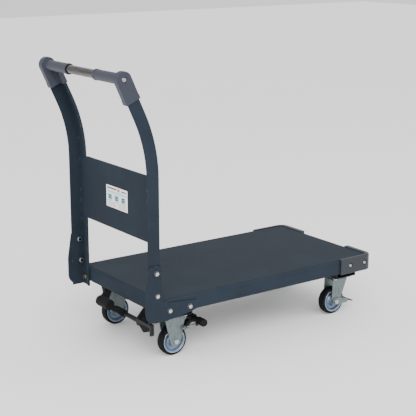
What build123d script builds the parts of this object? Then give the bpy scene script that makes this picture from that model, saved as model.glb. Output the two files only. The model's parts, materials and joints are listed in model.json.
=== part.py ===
from build123d import *
import math
import os

# A pressed-steel platform cart with a push handle that folds down over the deck.
# +X is the front, +Y the left-hand side seen from behind the handle, +Z is up, and the
# wheels stand on Z = 0. Everything is drawn about the deck's centre and then moved, so
# that the origin lies on the floor under the middle of the whole cart.

# ---- Deck -------------------------------------------------------------------------------
deck_length = 900.0
deck_width = 500.0
deck_height = 220.0
rim_depth = 52.0
deck_sheet = 2.0
deck_edge_radius = 9.0
deck_corner_radius = 20.0
rim_lip_width = 14.0

# ---- Members under the deck -------------------------------------------------------------
crossmember_end_gap = 15.0
crossmember_width = 92.0
crossmember_sheet = 4.0
deck_rib_offset = 90.0
deck_rib_width = 40.0
deck_rib_depth = 30.0

# ---- Casters ----------------------------------------------------------------------------
wheel_radius = 50.0
wheel_width = 32.0
rim_radius = 38.0
rim_lip_height = 3.0
caster_inset = 68.0
rear_axle_setback = 85.0
front_axle_setback = 116.0
caster_trail = 22.0
caster_headroom = 45.0
caster_plate = 84.0
caster_plate_sheet = 4.0
swivel_race_height = 9.0
caster_bolt_spacing = 64.0
fork_sheet = 3.0
fork_gap = 5.0
fork_rear_width = 84.0
fork_front_width = 68.0
fork_end_radius = 16.0
axle_radius = 5.0
kingpin_radius = 6.0
running_clearance = 0.05
moving_gap = 0.5

# ---- Wheel stopper on the front casters -------------------------------------------------
stopper_sheet = 2.5
stopper_hub_radius = 13.0
stopper_reach = 58.0
stopper_pedal_length = 27.0
stopper_pedal_width = 52.0
stopper_pedal_drop = 10.0

# ---- Posts and handle -------------------------------------------------------------------
post_depth = 44.0
post_flange = 45.0
post_lip = 9.0
post_sheet = 2.5
post_foot_drop = 18.0
post_rim_gap = 1.5
post_side_gap = 1.0
bend_above_panel = 2.0
bend_radius = 470.0
lean_angle = 24.5
handle_height = 930.0
handle_tube_radius = 14.0
handle_tube_wall = 2.0
handle_plug = 18.0
cover_wall = 3.2
cover_leg_length = 75.0
cover_arm_length = 115.0
cover_arm_radius = 17.0
cover_collar_length = 9.0
cover_fit = 0.3
cover_web_depth = 16.0

# ---- Panel and label --------------------------------------------------------------------
panel_above_deck = 178.0
panel_height = 216.0
panel_sheet = 1.5
panel_overlap = 32.0
panel_return = 6.0
label_width = 134.0
label_height = 73.0
label_sheet = 0.6
rivet_radius = 2.4

# ---- Foot brackets and fold pivot -------------------------------------------------------
bracket_sheet = 4.0
bracket_head_room = 24.0
bracket_reach = 145.0
bracket_flare = 14.0
bracket_heel_radius = 38.0
pivot_above_deck = 19.5
pivot_setback = 14.5
stop_above_pivot = 74.5
pivot_boss_length = 6.0
bolt_radius = 5.0
bolt_head_radius = 10.0
bolt_head_height = 7.0
nut_height = 7.0
deck_bolt_radius = 4.0
deck_bolt_rise = 13.5
deck_bolt_setbacks = (31.0, 109.0)

# ---- Corner bumpers ---------------------------------------------------------------------
bumper_wall = 8.0
bumper_front_wall = 16.0
bumper_side_length = 146.0
bumper_front_length = 133.0
bumper_top = 2.5
bumper_lip = 6.0
bumper_screw_radius = 3.0
bumper_screw_head = 6.5
bumper_screw_rise = 26.0
bumper_screw_setbacks = (24.0, 93.0)

# ---- Foot pedal that frees the fold latch -----------------------------------------------
pedal_shaft_radius = 8.0
pedal_shaft_drop = 55.0
pedal_shaft_inset = 14.0
pedal_reach = 60.0
pedal_rise = 43.0
pedal_half_width = 35.0
pedal_foot_radius = 18.0
pedal_bar_radius = 12.0
pedal_sheet = 5.0
hanger_inset = 62.0
hanger_sheet = 5.0
latch_gap = 3.0

# ---- Side brake bar ---------------------------------------------------------------------
brake_bar_ahead = 80.0
brake_bar_clear = 12.0
brake_bar_radius = 10.0
brake_grip_radius = 13.0
brake_bar_overhang = 5.0
brake_pivot_behind = 23.0
brake_pivot_rise = 26.0
brake_pin_radius = 6.0
brake_shoe_width = 24.0
brake_shoe_gap = 4.5
spring_side_gap = 7.0
spring_drop = 18.0
spring_front_gap = 10.0
spring_length = 28.0
spring_tab_gap = 14.0
spring_tab_hole = 5.5
spring_wire = 1.8
spring_radius = 4.0

# ---- Sizes that follow from the ones above ----------------------------------------------
rim_bottom = deck_height - rim_depth
deck_under = deck_height - deck_sheet
half_length = deck_length / 2
half_width = deck_width / 2
crossmember_length = deck_width - 2 * crossmember_end_gap
caster_offset = half_width - caster_inset
caster_height = 2 * wheel_radius + caster_headroom
rear_axle_x = -half_length + rear_axle_setback
front_axle_x = half_length - front_axle_setback
front_pin_x = front_axle_x + caster_trail
leg_inner = wheel_width / 2 + fork_gap
leg_outer = leg_inner + fork_sheet
crown_top = caster_height - caster_plate_sheet - swivel_race_height
post_foot_height = rim_bottom - post_foot_drop
pivot_height = deck_height + pivot_above_deck
stop_height = pivot_height + stop_above_pivot
bracket_height = stop_height + bracket_head_room
deck_bolt_height = rim_bottom + deck_bolt_rise
bumper_screw_height = rim_bottom + bumper_screw_rise
panel_bottom = deck_height + panel_above_deck
bend_height = panel_bottom + panel_height + bend_above_panel
post_front_x = -half_length - post_rim_gap
post_x = post_front_x - post_depth / 2
post_outer = half_width - post_side_gap
post_inner = post_outer - post_sheet
flange_inner = post_outer - post_flange
bracket_outer = half_width + bracket_sheet
pivot_x = post_front_x - pivot_setback
stop_x = pivot_x - 2.0
lean = math.radians(lean_angle)
bend_end_x = post_x - bend_radius * (1 - math.cos(lean))
bend_end_z = bend_height + bend_radius * math.sin(lean)
top_run = (handle_height - bend_end_z) / math.cos(lean)
handle_x = bend_end_x - top_run * math.sin(lean)
handle_plane = Plane(
    origin=(handle_x, 0, handle_height),
    x_dir=(math.cos(lean), 0, math.sin(lean)),
    z_dir=(-math.sin(lean), 0, math.cos(lean)),
)
pedal_hanger_offset = caster_offset - hanger_inset
pedal_shaft_x = -half_length
pedal_shaft_z = rim_bottom - pedal_shaft_drop
pedal_shaft_half = caster_offset - pedal_shaft_inset
pedal_foot_x = pedal_shaft_x - pedal_reach
pedal_foot_z = pedal_shaft_z + pedal_rise
brake_bar_x = rear_axle_x + brake_bar_ahead
brake_bar_z = 2 * wheel_radius + brake_bar_clear
brake_bar_half = half_width + brake_bar_overhang
brake_pivot_x = brake_bar_x - brake_pivot_behind
brake_pivot_z = brake_bar_z + brake_pivot_rise
spring_offset = caster_offset + leg_outer + spring_side_gap
spring_front_x = brake_bar_x - spring_front_gap
spring_rear_x = spring_front_x - spring_length
spring_tab_x = spring_rear_x - spring_tab_gap
spring_z = brake_bar_z - spring_drop
post_sweep = math.hypot(pivot_height - post_foot_height, post_x - post_depth / 2 - pivot_x)


# ---- Shapes used again and again --------------------------------------------------------
def outline(*corners):
    """A face through (x, y, radius) corners, each rounded by its own radius."""
    points = [(x, y) for x, y, _ in corners]
    radii = [radius for _, _, radius in corners]
    return make_face(FilletPolyline(*points, radius=radii, close=True).edges())


def upright_plate(face, near, far):
    """A plate standing along X on the right-hand side, between two distances from the middle."""
    return extrude(Plane.XZ.offset(near) * face, far - near)


def block(x_range, y_range, z_range):
    """A block between two corners."""
    sizes = [high - low for low, high in (x_range, y_range, z_range)]
    middle = [(high + low) / 2 for low, high in (x_range, y_range, z_range)]
    return Pos(*middle) * Box(*sizes)


def cross_rod(x, z, radius, y_low, y_high):
    """A round rod lying across the cart."""
    return Pos(x, (y_low + y_high) / 2, z) * Rot(90, 0, 0) * Cylinder(radius, y_high - y_low)


def long_rod(y, z, radius, x_low, x_high):
    """A round rod lying along the cart."""
    return Pos((x_low + x_high) / 2, y, z) * Rot(0, 90, 0) * Cylinder(radius, x_high - x_low)


def cross_tube(x, z, outer, inner, y_low, y_high):
    """A round tube lying across the cart."""
    return cross_rod(x, z, outer, y_low, y_high) - cross_rod(x, z, inner, y_low - 1, y_high + 1)


def strut(x_a, z_a, x_b, z_b, thickness, y_low, y_high):
    """A flat bar from one point to another in side view."""
    run = math.hypot(x_b - x_a, z_b - z_a)
    turn = math.degrees(math.atan2(z_b - z_a, x_b - x_a))
    middle = Pos((x_a + x_b) / 2, (y_low + y_high) / 2, (z_a + z_b) / 2)
    return middle * Rot(0, -turn, 0) * Box(run, y_high - y_low, thickness)


def hex_prism(x, z, radius, y_low, y_high):
    """A hexagon head or nut lying across the cart."""
    return extrude(Plane.XZ.offset(-y_high) * Pos(x, z) * RegularPolygon(radius, 6), y_high - y_low)


def left(shape):
    """The left-hand twin of a right-hand piece."""
    return mirror(shape, about=Plane.XZ)


def group(*shapes):
    """Separate solids kept together in one node."""
    return Compound([solid for shape in shapes for solid in shape.solids()])


def both(shape):
    """A right-hand piece and its left-hand twin, as one group."""
    return group(shape, left(shape))


# ---- Deck and the members under it ------------------------------------------------------
def deck_block(grow=0.0):
    """The deck's outer form as a full block, with its rolled top edge."""
    sketch = RectangleRounded(deck_length - 2 * grow, deck_width - 2 * grow, deck_corner_radius - grow)
    form = extrude(Plane.XY.offset(rim_bottom) * sketch, rim_depth - grow)
    top_edges = form.faces().sort_by(Axis.Z)[-1].edges()
    return fillet(top_edges, deck_edge_radius - grow)


def deck_shell():
    """The pressed tray: top, rolled edge, rim and the lip turned in under the rim."""
    mouth = RectangleRounded(deck_length - 2 * rim_lip_width, deck_width - 2 * rim_lip_width, 6)
    hollow = deck_block(deck_sheet) - block(
        (-half_length, half_length), (-half_width, half_width), (rim_bottom - 1, rim_bottom + deck_sheet)
    )
    shell = deck_block() - hollow - extrude(Plane.XY.offset(rim_bottom - 1) * mouth, deck_sheet + 2)
    for side in (-1, 1):
        for setback in deck_bolt_setbacks:
            x = setback - half_length
            span = sorted((side * (half_width - 20), side * (half_width + 5)))
            shell -= cross_rod(x, deck_bolt_height, deck_bolt_radius, *span)
        for setback in bumper_screw_setbacks:
            x = half_length - setback
            span = sorted((side * (half_width - 20), side * (half_width + 5)))
            shell -= cross_rod(x, bumper_screw_height, bumper_screw_radius, *span)
    return shell


def crossmember(x_middle):
    """A folded channel across the deck that carries a pair of casters."""
    half = crossmember_length / 2
    low, high = x_middle - crossmember_width / 2, x_middle + crossmember_width / 2
    channel = block((low, high), (-half, half), (caster_height, deck_under))
    inside = (low + crossmember_sheet, high - crossmember_sheet)
    channel -= block(inside, (-half - 1, half + 1), (caster_height + crossmember_sheet, deck_under + 1))
    for y, x in caster_bolt_places(x_middle):
        channel -= Pos(x, y, caster_height) * Cylinder(deck_bolt_radius, 20)
    return channel


def caster_bolt_places(x_middle):
    """Y and X of the bolts that hold the two casters on a crossmember."""
    half = caster_bolt_spacing / 2
    return [
        (side * caster_offset + dy, x_middle + dx)
        for side in (-1, 1)
        for dx in (-half, half)
        for dy in (-half, half)
    ]


def deck_ribs():
    """Two stiffening channels along the deck, between the crossmembers."""
    rear_end = rear_axle_x + crossmember_width / 2
    front_end = front_pin_x - crossmember_width / 2
    half = deck_rib_width / 2
    rib = block((rear_end, front_end), (-half, half), (deck_under - deck_rib_depth, deck_under))
    trough = (deck_under - deck_rib_depth + deck_sheet, deck_under + 1)
    rib -= block((rear_end - 1, front_end + 1), (-half + deck_sheet, half - deck_sheet), trough)
    return both(Pos(0, -deck_rib_offset, 0) * rib)


def caster_bolts():
    """Bolts and nuts that hold the four casters."""
    pieces = []
    for x_middle in (rear_axle_x, front_pin_x):
        for y, x in caster_bolt_places(x_middle):
            floor = caster_height - caster_plate_sheet
            head = Pos(x, y, floor - 2.5) * extrude(RegularPolygon(7.5, 6), 5, both=True)
            head = head & block((x - 9, x + 9), (y - 9, y + 9), (floor - 5, floor))
            shank = Pos(x, y, floor + 8) * Cylinder(deck_bolt_radius, 16)
            nut_floor = caster_height + crossmember_sheet
            nut = Pos(x, y, nut_floor) * extrude(RegularPolygon(7.5, 6), 6)
            pieces += [head + shank, nut - Pos(x, y, nut_floor) * Cylinder(deck_bolt_radius, 40)]
    return group(*pieces)


# ---- Casters ----------------------------------------------------------------------------
def revolved_wheel_part(x, side, *points):
    """A ring turned about a wheel's axle from (radius, offset) points of half its section."""
    section = [(offset, radius) for radius, offset in points]
    section += [(-offset, radius) for radius, offset in reversed(points)]
    face = make_face(Polyline(*section, close=True).edges())
    ring = revolve(face, Axis.X)
    return Pos(x, side * caster_offset, wheel_radius) * Rot(0, 0, 90) * ring


def tyre(x, side):
    """A solid rubber tyre with rounded shoulders."""
    half = wheel_width / 2
    seat = half - rim_lip_height - 0.3
    lip = rim_radius + rim_lip_height + 0.3
    points = [(wheel_radius, half - 7), (wheel_radius - 1.6, half - 3), (wheel_radius - 4, half - 1)]
    points += [(wheel_radius - 7, half), (lip, half), (lip, seat), (rim_radius, seat)]
    return revolved_wheel_part(x, side, *points)


def wheel_rim(x, side):
    """A pressed steel rim: lips, barrel, dished web and hub shell."""
    half = wheel_width / 2
    seat = half - rim_lip_height - 0.3
    points = [(rim_radius, seat), (rim_radius + rim_lip_height, seat)]
    points += [(rim_radius + rim_lip_height, seat + 1.5), (rim_radius - 3, seat + 1.5)]
    points += [(rim_radius - 4.5, 6), (20, 3), (15, 8), (14, half - 1), (11, half - 1)]
    return revolved_wheel_part(x, side, *points)


def wheel_bearing(x, side):
    """The sleeve bearing that carries a wheel on its axle."""
    y = side * caster_offset
    half = leg_inner - moving_gap
    return cross_tube(x, wheel_radius, 11, axle_radius + running_clearance, y - half, y + half)


def fork_leg(x_axle, x_low, x_high, top):
    """Side view of a fork leg, tapering from the crown to the axle."""
    foot = wheel_radius - fork_end_radius
    return outline(
        (x_low, top, 2),
        (x_high, top, 2),
        (x_axle + fork_end_radius + 1, foot, fork_end_radius - 1),
        (x_axle - fork_end_radius - 1, foot, fork_end_radius - 1),
    )


def fork_legs(face, x_axle, hole):
    """The two legs of a right-hand fork, bored for the axle."""
    outer = upright_plate(face, caster_offset + leg_inner, caster_offset + leg_outer)
    inner = upright_plate(face, caster_offset - leg_outer, caster_offset - leg_inner)
    span = (-caster_offset - leg_outer - 1, -caster_offset + leg_outer + 1)
    return outer + inner - cross_rod(x_axle, wheel_radius, hole, *span)


def fork_ribs(x_axle, spacing, top):
    """Pressed ribs that stiffen the legs of a fork."""
    ribs = None
    for dx in (-spacing / 2, spacing / 2):
        for inner, outer in ((leg_outer - 1, leg_outer + 1.2), (-leg_outer - 1.2, -leg_outer + 1)):
            span = (-caster_offset + inner, -caster_offset + outer)
            rib = block((x_axle + dx - 2, x_axle + dx + 2), span, (wheel_radius + 22, top - 3))
            ribs = rib if ribs is None else ribs + rib
    return ribs


def rear_fork():
    """The fixed fork of a right-hand rear caster, with its top plate."""
    top = caster_height - caster_plate_sheet
    half = fork_rear_width / 2
    face = fork_leg(rear_axle_x, rear_axle_x - half, rear_axle_x + half, top)
    fork = fork_legs(face, rear_axle_x, axle_radius) + fork_ribs(rear_axle_x, 38, top)
    plate_half = caster_plate / 2
    plate_x = (rear_axle_x - plate_half, rear_axle_x + plate_half)
    plate_y = (-caster_offset - plate_half, -caster_offset + plate_half)
    fork += block(plate_x, plate_y, (top, caster_height))
    for y, x in caster_bolt_places(rear_axle_x)[:4]:
        fork -= Pos(x, y, caster_height) * Cylinder(deck_bolt_radius, 20)
    tab_x = (spring_tab_x - 3, spring_tab_x)
    tab_y = (-spring_offset - 8, -caster_offset - leg_outer + 0.5)
    tab = block(tab_x, tab_y, (spring_z - 8.5, spring_z + 8.5))
    hole = long_rod(-spring_offset, spring_z, spring_tab_hole, spring_tab_x - 4, spring_tab_x + 1)
    return fork + tab - hole


def swivel_plate():
    """The fixed top plate and bearing cup of a right-hand front caster."""
    top = caster_height - caster_plate_sheet
    half = caster_plate / 2
    plate_x = (front_pin_x - half, front_pin_x + half)
    plate = block(plate_x, (-caster_offset - half, -caster_offset + half), (top, caster_height))
    cup_low = crown_top + 1.5
    place = Pos(front_pin_x, -caster_offset, (cup_low + top) / 2)
    plate += place * (Cylinder(29, top - cup_low) - Cylinder(26, top - cup_low + 2))
    for y, x in caster_bolt_places(front_pin_x)[:4]:
        plate -= Pos(x, y, caster_height) * Cylinder(deck_bolt_radius, 20)
    return plate


def kingpin():
    """The rivet that a right-hand front fork swivels on."""
    top = caster_height - caster_plate_sheet
    low = crown_top - fork_sheet - moving_gap
    place = Pos(front_pin_x, -caster_offset, 0)
    pin = place * Pos(0, 0, (low + top) / 2) * Cylinder(kingpin_radius, top - low)
    return pin + place * Pos(0, 0, low - 3) * Cylinder(10, 6)


def front_fork():
    """The swivelling fork of a right-hand front caster, with its lower bearing ring."""
    half = fork_front_width / 2
    x_low, x_high = front_pin_x - half, front_pin_x + half
    face = fork_leg(front_axle_x, x_low, x_high, crown_top)
    fork = fork_legs(face, front_axle_x, axle_radius) + fork_ribs(front_axle_x + 10, 16, crown_top - 24)
    crown_y = (-caster_offset - leg_outer, -caster_offset + leg_outer)
    fork += block((x_low + 2, x_high - 2), crown_y, (crown_top - fork_sheet, crown_top))
    ring_top = caster_height - caster_plate_sheet - moving_gap
    place = Pos(front_pin_x, -caster_offset, 0)
    fork += place * Pos(0, 0, (crown_top - 1 + ring_top) / 2) * Cylinder(24, ring_top - crown_top + 1)
    bore = kingpin_radius + running_clearance
    return fork - place * Pos(0, 0, crown_top) * Cylinder(bore, 40)


def axle_bolt(x, half):
    """A right-hand caster's axle bolt and its nut."""
    low, high = -caster_offset - half, -caster_offset + half
    bolt = cross_rod(x, wheel_radius, axle_radius, low - 7, high)
    bolt += hex_prism(x, wheel_radius, 9, high, high + 5)
    nut = hex_prism(x, wheel_radius, 9, low - 6, low)
    nut -= cross_rod(x, wheel_radius, axle_radius, low - 8, low + 1)
    return group(bolt, nut)


def stopper_lever():
    """The stopper of a right-hand front caster: side arms on the axle and a bar ahead of the tyre."""
    near = leg_outer + 1.2 + moving_gap
    reach_x = front_axle_x + stopper_reach
    hub, z = stopper_hub_radius, wheel_radius
    face = outline(
        (front_axle_x - hub, z + hub, hub - 1),
        (front_axle_x + hub, z + hub, 8),
        (reach_x, z + 2, 2),
        (reach_x, z - 12, 4),
        (front_axle_x + hub, z - hub, 8),
        (front_axle_x - hub, z - hub, hub - 1),
    )
    lever = upright_plate(face, caster_offset + near, caster_offset + near + stopper_sheet)
    lever += upright_plate(face, caster_offset - near - stopper_sheet, caster_offset - near)
    half = near + stopper_sheet
    span = (-caster_offset - half, -caster_offset + half)
    lever += block((reach_x - stopper_sheet, reach_x), span, (z - 12, z + 2))
    bore = axle_radius + running_clearance
    return lever - cross_rod(front_axle_x, z, bore, span[0] - 1, span[1] + 1)


def stopper_pedal():
    """The foot plate on the end of a right-hand stopper lever."""
    x = front_axle_x + stopper_reach
    z = wheel_radius - 3
    half = stopper_pedal_width / 2
    span = (-caster_offset - half, -caster_offset + half)
    tip = (x + stopper_pedal_length, z - stopper_pedal_drop)
    blade = strut(x - 1, z, *tip, 4, *span)
    return blade - block((x - 20, x), (span[0] - 1, span[1] + 1), (0, 100))


# ---- Posts and handle -------------------------------------------------------------------
def post_strip(front, back, low, run):
    """Side view of the post between two offsets ahead of its middle line."""
    rise = Vector(-math.sin(lean), math.cos(lean)) * run
    edges = []
    for offset in (front, back):
        bend = CenterArc((post_x - bend_radius, bend_height), bend_radius + offset, 0, lean_angle)
        edges += [Line((post_x + offset, low), bend @ 0), bend, Line(bend @ 1, bend @ 1 + rise)]
    closing = [Line(edges[0] @ 0, edges[3] @ 0), Line(edges[2] @ 1, edges[5] @ 1)]
    return make_face(Curve() + edges + closing)


def handle_rod(radius, near, far):
    """A rod on the handle's axis, on the right-hand side."""
    return cross_rod(handle_x, handle_height, radius, -far, -near)


def post():
    """The right-hand post: outer web, flange along its front edge and the flange's lip."""
    half = post_depth / 2
    flange_run = top_run - handle_tube_radius - 10
    web = upright_plate(post_strip(half, -half, post_foot_height, top_run), post_inner, post_outer)
    web += handle_rod(half, post_inner, post_outer)
    flange = post_strip(half, half - post_sheet, post_foot_height, flange_run)
    lip = post_strip(half, half - post_lip, post_foot_height, flange_run)
    lip_plate = upright_plate(lip, flange_inner, flange_inner + post_sheet)
    notch = (panel_bottom - 6, panel_bottom + panel_height + 6)
    lip_plate -= block((post_x, post_front_x - post_sheet), (-half_width, 0), notch)
    shape = web + upright_plate(flange, flange_inner, post_outer) + lip_plate
    boss_end = -post_inner + pivot_boss_length
    shape += cross_rod(pivot_x, pivot_height, bolt_radius + 5, -post_outer, boss_end)
    shape -= cross_rod(pivot_x, pivot_height, bolt_radius + running_clearance, -half_width, boss_end + 2)
    shape -= cross_rod(stop_x, stop_height, bolt_radius, -half_width, -post_inner + 1)
    shape -= handle_rod(deck_bolt_radius, post_inner - 1, post_outer + 1)
    for z in panel_rivet_heights():
        shape -= panel_rivet_hole(z)
    shape -= Pos(post_front_x, -pad_offset, pad_height) * Rot(0, 90, 0) * Cylinder(deck_bolt_radius, 20)
    return shape


def handle_tube():
    """The push bar, a tube with threaded ends welded in."""
    bar = handle_rod(handle_tube_radius, -post_inner, post_inner)
    bore = handle_tube_radius - handle_tube_wall
    bar -= handle_rod(bore, -post_inner + handle_plug, post_inner - handle_plug)
    thread = handle_rod(deck_bolt_radius, post_inner - 16, post_inner + 1)
    return bar - thread - left(thread)


def handle_bolt():
    """The right-hand screw that holds the push bar to its post."""
    head = handle_rod(8, post_outer, post_outer + 3)
    return head + handle_rod(deck_bolt_radius, post_inner - 15, post_outer)


def elbow_form(grow):
    """The right-hand elbow: a leg round the post's web and flange, and a round top."""
    half_x = post_depth / 2 + grow
    near, far = flange_inner - grow, post_outer + grow
    web_near = post_outer - cover_web_depth - grow
    leg = block((-half_x, half_x), (-far, -web_near), (-cover_leg_length, 0))
    leg += block((post_depth / 2 - post_lip - grow, half_x), (-far, -near), (-cover_leg_length, 0))
    return handle_plane * leg + handle_rod(half_x, web_near, far)


def elbow_cover():
    """The right-hand plastic elbow: a leg sleeve, a round corner and an arm sleeve on the bar."""
    near = flange_inner - cover_wall - cover_fit
    shell = elbow_form(cover_wall + cover_fit)
    shell += handle_rod(cover_arm_radius, near - cover_arm_length, post_outer - cover_web_depth)
    arm_end = near - cover_arm_length
    shell += handle_rod(cover_arm_radius + 1.2, arm_end, arm_end + cover_collar_length)
    below = block((-80, 80), (-half_width - 20, 0), (-cover_leg_length - 60, -cover_leg_length))
    shell -= elbow_form(cover_fit)
    shell -= handle_rod(handle_tube_radius, 0, post_outer)
    shell -= handle_rod(9, post_outer - 1, post_outer + 20)
    return shell - handle_plane * (Pos(0, 0, 0.5) * below)


# ---- Panel, label and their rivets ------------------------------------------------------
panel_front_x = post_front_x - post_sheet
panel_half = flange_inner + panel_overlap
rivet_offset = flange_inner + panel_overlap / 2
pad_offset = flange_inner + 24.0
pad_height = rim_bottom + 10.0


def panel_rivet_heights():
    """Heights of the rivets along each side of the panel."""
    return [panel_bottom + panel_height * share for share in (0.12, 0.5, 0.88)]


def panel_rivet_hole(z):
    """A right-hand rivet hole through the panel and the flange behind it."""
    return Pos(panel_front_x, -rivet_offset, z) * Rot(0, 90, 0) * Cylinder(rivet_radius, 20)


def back_panel():
    """The flat panel between the posts, with its top and bottom edges turned forward."""
    top = panel_bottom + panel_height
    reach = (-flange_inner + 2, flange_inner - 2)
    face = (panel_front_x - panel_sheet, panel_front_x)
    panel = block(face, (-panel_half, panel_half), (panel_bottom, top))
    fold = (panel_front_x - panel_sheet, panel_front_x + panel_return)
    for z in (panel_bottom, top - panel_sheet):
        panel += block(fold, reach, (z, z + panel_sheet))
    for z in panel_rivet_heights():
        hole = panel_rivet_hole(z)
        panel = panel - hole - left(hole)
    return panel


def label_plate():
    """The label stuck on the panel's rear face."""
    middle = panel_bottom + panel_height / 2
    face = panel_front_x - panel_sheet
    span = (-label_width / 2, label_width / 2)
    return block((face - label_sheet, face), span, (middle - label_height / 2, middle + label_height / 2))


def panel_rivets():
    """Rivets that hold the panel on the posts' flanges."""
    rivets = None
    rear = panel_front_x - panel_sheet
    for z in panel_rivet_heights():
        place = Pos(0, -rivet_offset, z) * Rot(0, 90, 0)
        rivet = place * Pos(0, 0, rear - 1) * Cylinder(4.5, 2)
        rivet += place * Pos(0, 0, (rear + post_front_x) / 2) * Cylinder(rivet_radius, post_front_x - rear)
        rivets = rivet if rivets is None else rivets + rivet
    return both(rivets)


# ---- Foot brackets, pivots and stops ----------------------------------------------------
def foot_bracket():
    """The right-hand side plate that ties the post's foot to the deck."""
    front = -half_length + bracket_reach
    rear = post_x - post_depth / 2
    arm_front = post_front_x + 3
    low = post_foot_height
    heel = bracket_heel_radius
    face = outline(
        (rear + 1, bracket_height, 6),
        (arm_front, bracket_height, 6),
        (arm_front, deck_height - 8, 26),
        (front, rim_bottom + 30, 14),
        (front, rim_bottom + 4, 3),
        (front - 34, rim_bottom - 6, 24),
        (-half_length + 22, low, 24),
        (rear - bracket_flare, low, heel),
        (rear - bracket_flare, pivot_height + 10, 40),
    )
    plate = upright_plate(face, half_width, bracket_outer)
    radius = math.hypot(stop_height - pivot_height, stop_x - pivot_x)
    slot_half = bolt_radius + 0.4
    span = (-bracket_outer - 1, -half_width + 1)
    slot = cross_tube(pivot_x, pivot_height, radius + slot_half, radius - slot_half, *span)
    sector = block((stop_x, arm_front + 5), (-bracket_outer - 2, 0), (stop_height - 30, stop_height + 12))
    plate -= slot & sector
    plate -= cross_rod(stop_x, stop_height, slot_half, *span)
    plate -= cross_rod(pivot_x, pivot_height, bolt_radius, *span)
    for setback in deck_bolt_setbacks:
        plate -= cross_rod(setback - half_length, deck_bolt_height, deck_bolt_radius, *span)
    return plate


def flanged_bolt(x, z, radius, head, seat, end, nut_far):
    """A right-hand bolt with a flanged head on a seat and a nut towards the cart's middle."""
    bolt = cross_rod(x, z, head, -seat - 2, -seat)
    bolt += hex_prism(x, z, head * 0.82, -seat - bolt_head_height, -seat - 1)
    bolt += cross_rod(x, z, radius, -seat, -end)
    nut = hex_prism(x, z, radius * 1.8, -nut_far - nut_height, -nut_far)
    nut -= cross_rod(x, z, radius, -seat, -end + 10)
    return group(bolt, nut)


def pivot_bolt():
    """The bolt that the right-hand post folds on."""
    nut_far = post_inner - pivot_boss_length - moving_gap - nut_height
    place = (pivot_x, pivot_height)
    return flanged_bolt(*place, bolt_radius, bolt_head_radius, bracket_outer, nut_far - 2, nut_far)


def stop_bolt():
    """The bolt through the right-hand post that comes to rest in the bracket's slot."""
    nut_far = post_inner - nut_height
    seat = bracket_outer + moving_gap
    return flanged_bolt(stop_x, stop_height, bolt_radius, bolt_head_radius, seat, nut_far - 2, nut_far)


def bracket_bolts():
    """Bolts and nuts that hold the foot brackets on the deck's rim."""
    pieces = []
    inside = half_width - deck_sheet
    for setback in deck_bolt_setbacks:
        bolt = flanged_bolt(
            setback - half_length, deck_bolt_height, deck_bolt_radius, bolt_head_radius,
            bracket_outer, inside - nut_height - 2, inside - nut_height,
        )
        pieces.append(both(bolt))
    return group(*pieces)


def stop_pads():
    """Nylon pads on the flanges that meet the deck's rear rim, each on its own screw."""
    place = Pos(0, -pad_offset, pad_height) * Rot(0, 90, 0)
    pad = place * Pos(0, 0, post_front_x + 0.6) * Cylinder(9, 1.2)
    shank = post_front_x - panel_front_x
    pad += place * Pos(0, 0, post_front_x - shank / 2) * Cylinder(deck_bolt_radius, shank)
    pad += place * Pos(0, 0, panel_front_x - 2) * Cylinder(7, 4)
    return both(pad)


# ---- Corner bumpers ---------------------------------------------------------------------
def bumper():
    """The right-hand front corner bumper, wrapped round the deck's corner."""
    outer = RectangleRounded(
        deck_length + 2 * bumper_front_wall,
        deck_width + 2 * bumper_wall,
        deck_corner_radius + bumper_front_wall,
    )
    inner = RectangleRounded(
        deck_length - 2 * bumper_lip, deck_width - 2 * bumper_lip, deck_corner_radius - bumper_lip
    )
    height = rim_depth + bumper_top + 3
    base = Plane.XY.offset(rim_bottom - 3)
    form = extrude(base * outer, height)
    form = fillet(form.faces().sort_by(Axis.Z)[-1].edges(), 5)
    form = fillet(form.faces().sort_by(Axis.Z)[0].edges(), 3)
    form -= extrude(base.offset(-1) * inner, height + 2)
    under = RectangleRounded(deck_length, deck_width, deck_corner_radius)
    below = extrude(Plane.XY.offset(rim_bottom - 5) * under, 5)
    form = form - deck_block() - below
    reach_x = (half_length - bumper_side_length + bumper_wall, half_length + 2 * bumper_front_wall)
    reach_y = (-half_width - 20, -half_width - bumper_wall + bumper_front_length)
    form = form & block(reach_x, reach_y, (0, deck_height + 50))
    seat = half_width + bumper_wall
    for setback in bumper_screw_setbacks:
        x = half_length - setback
        form -= cross_rod(x, bumper_screw_height, bumper_screw_radius, -seat - 1, -half_width + 1)
        form -= cross_rod(x, bumper_screw_height, bumper_screw_head + 2.5, -seat - 1, -seat + 4)
    return form


def bumper_screws():
    """Screws that hold the bumpers on the deck's rim."""
    pieces = []
    seat = half_width + bumper_wall - 4
    for setback in bumper_screw_setbacks:
        x = half_length - setback
        screw = cross_rod(x, bumper_screw_height, bumper_screw_head, -seat - 3.5, -seat)
        screw += cross_rod(x, bumper_screw_height, bumper_screw_radius, -seat, -half_width + 12)
        pieces.append(both(screw))
    return group(*pieces)


# ---- Foot pedal and latch ---------------------------------------------------------------
def pedal_hangers():
    """Plates under the rear crossmember that carry the pedal's shaft."""
    wall = rear_axle_x - crossmember_width / 2
    x, z = pedal_shaft_x, pedal_shaft_z
    lip_edge = -half_length + rim_lip_width + 2
    face = outline(
        (wall, deck_under - 20, 0),
        (wall, caster_height + 2, 6),
        (x + 14, z - 14, 12),
        (x - 14, z - 14, 13),
        (x - 14, z + 14, 13),
        (lip_edge, rim_bottom - 8, 4),
        (lip_edge, deck_under - 20, 4),
    )
    plate = upright_plate(face, pedal_hanger_offset, pedal_hanger_offset + hanger_sheet)
    plate -= cross_rod(x, z, pedal_shaft_radius + running_clearance, -pedal_hanger_offset - 20, 0)
    return both(plate)


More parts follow.
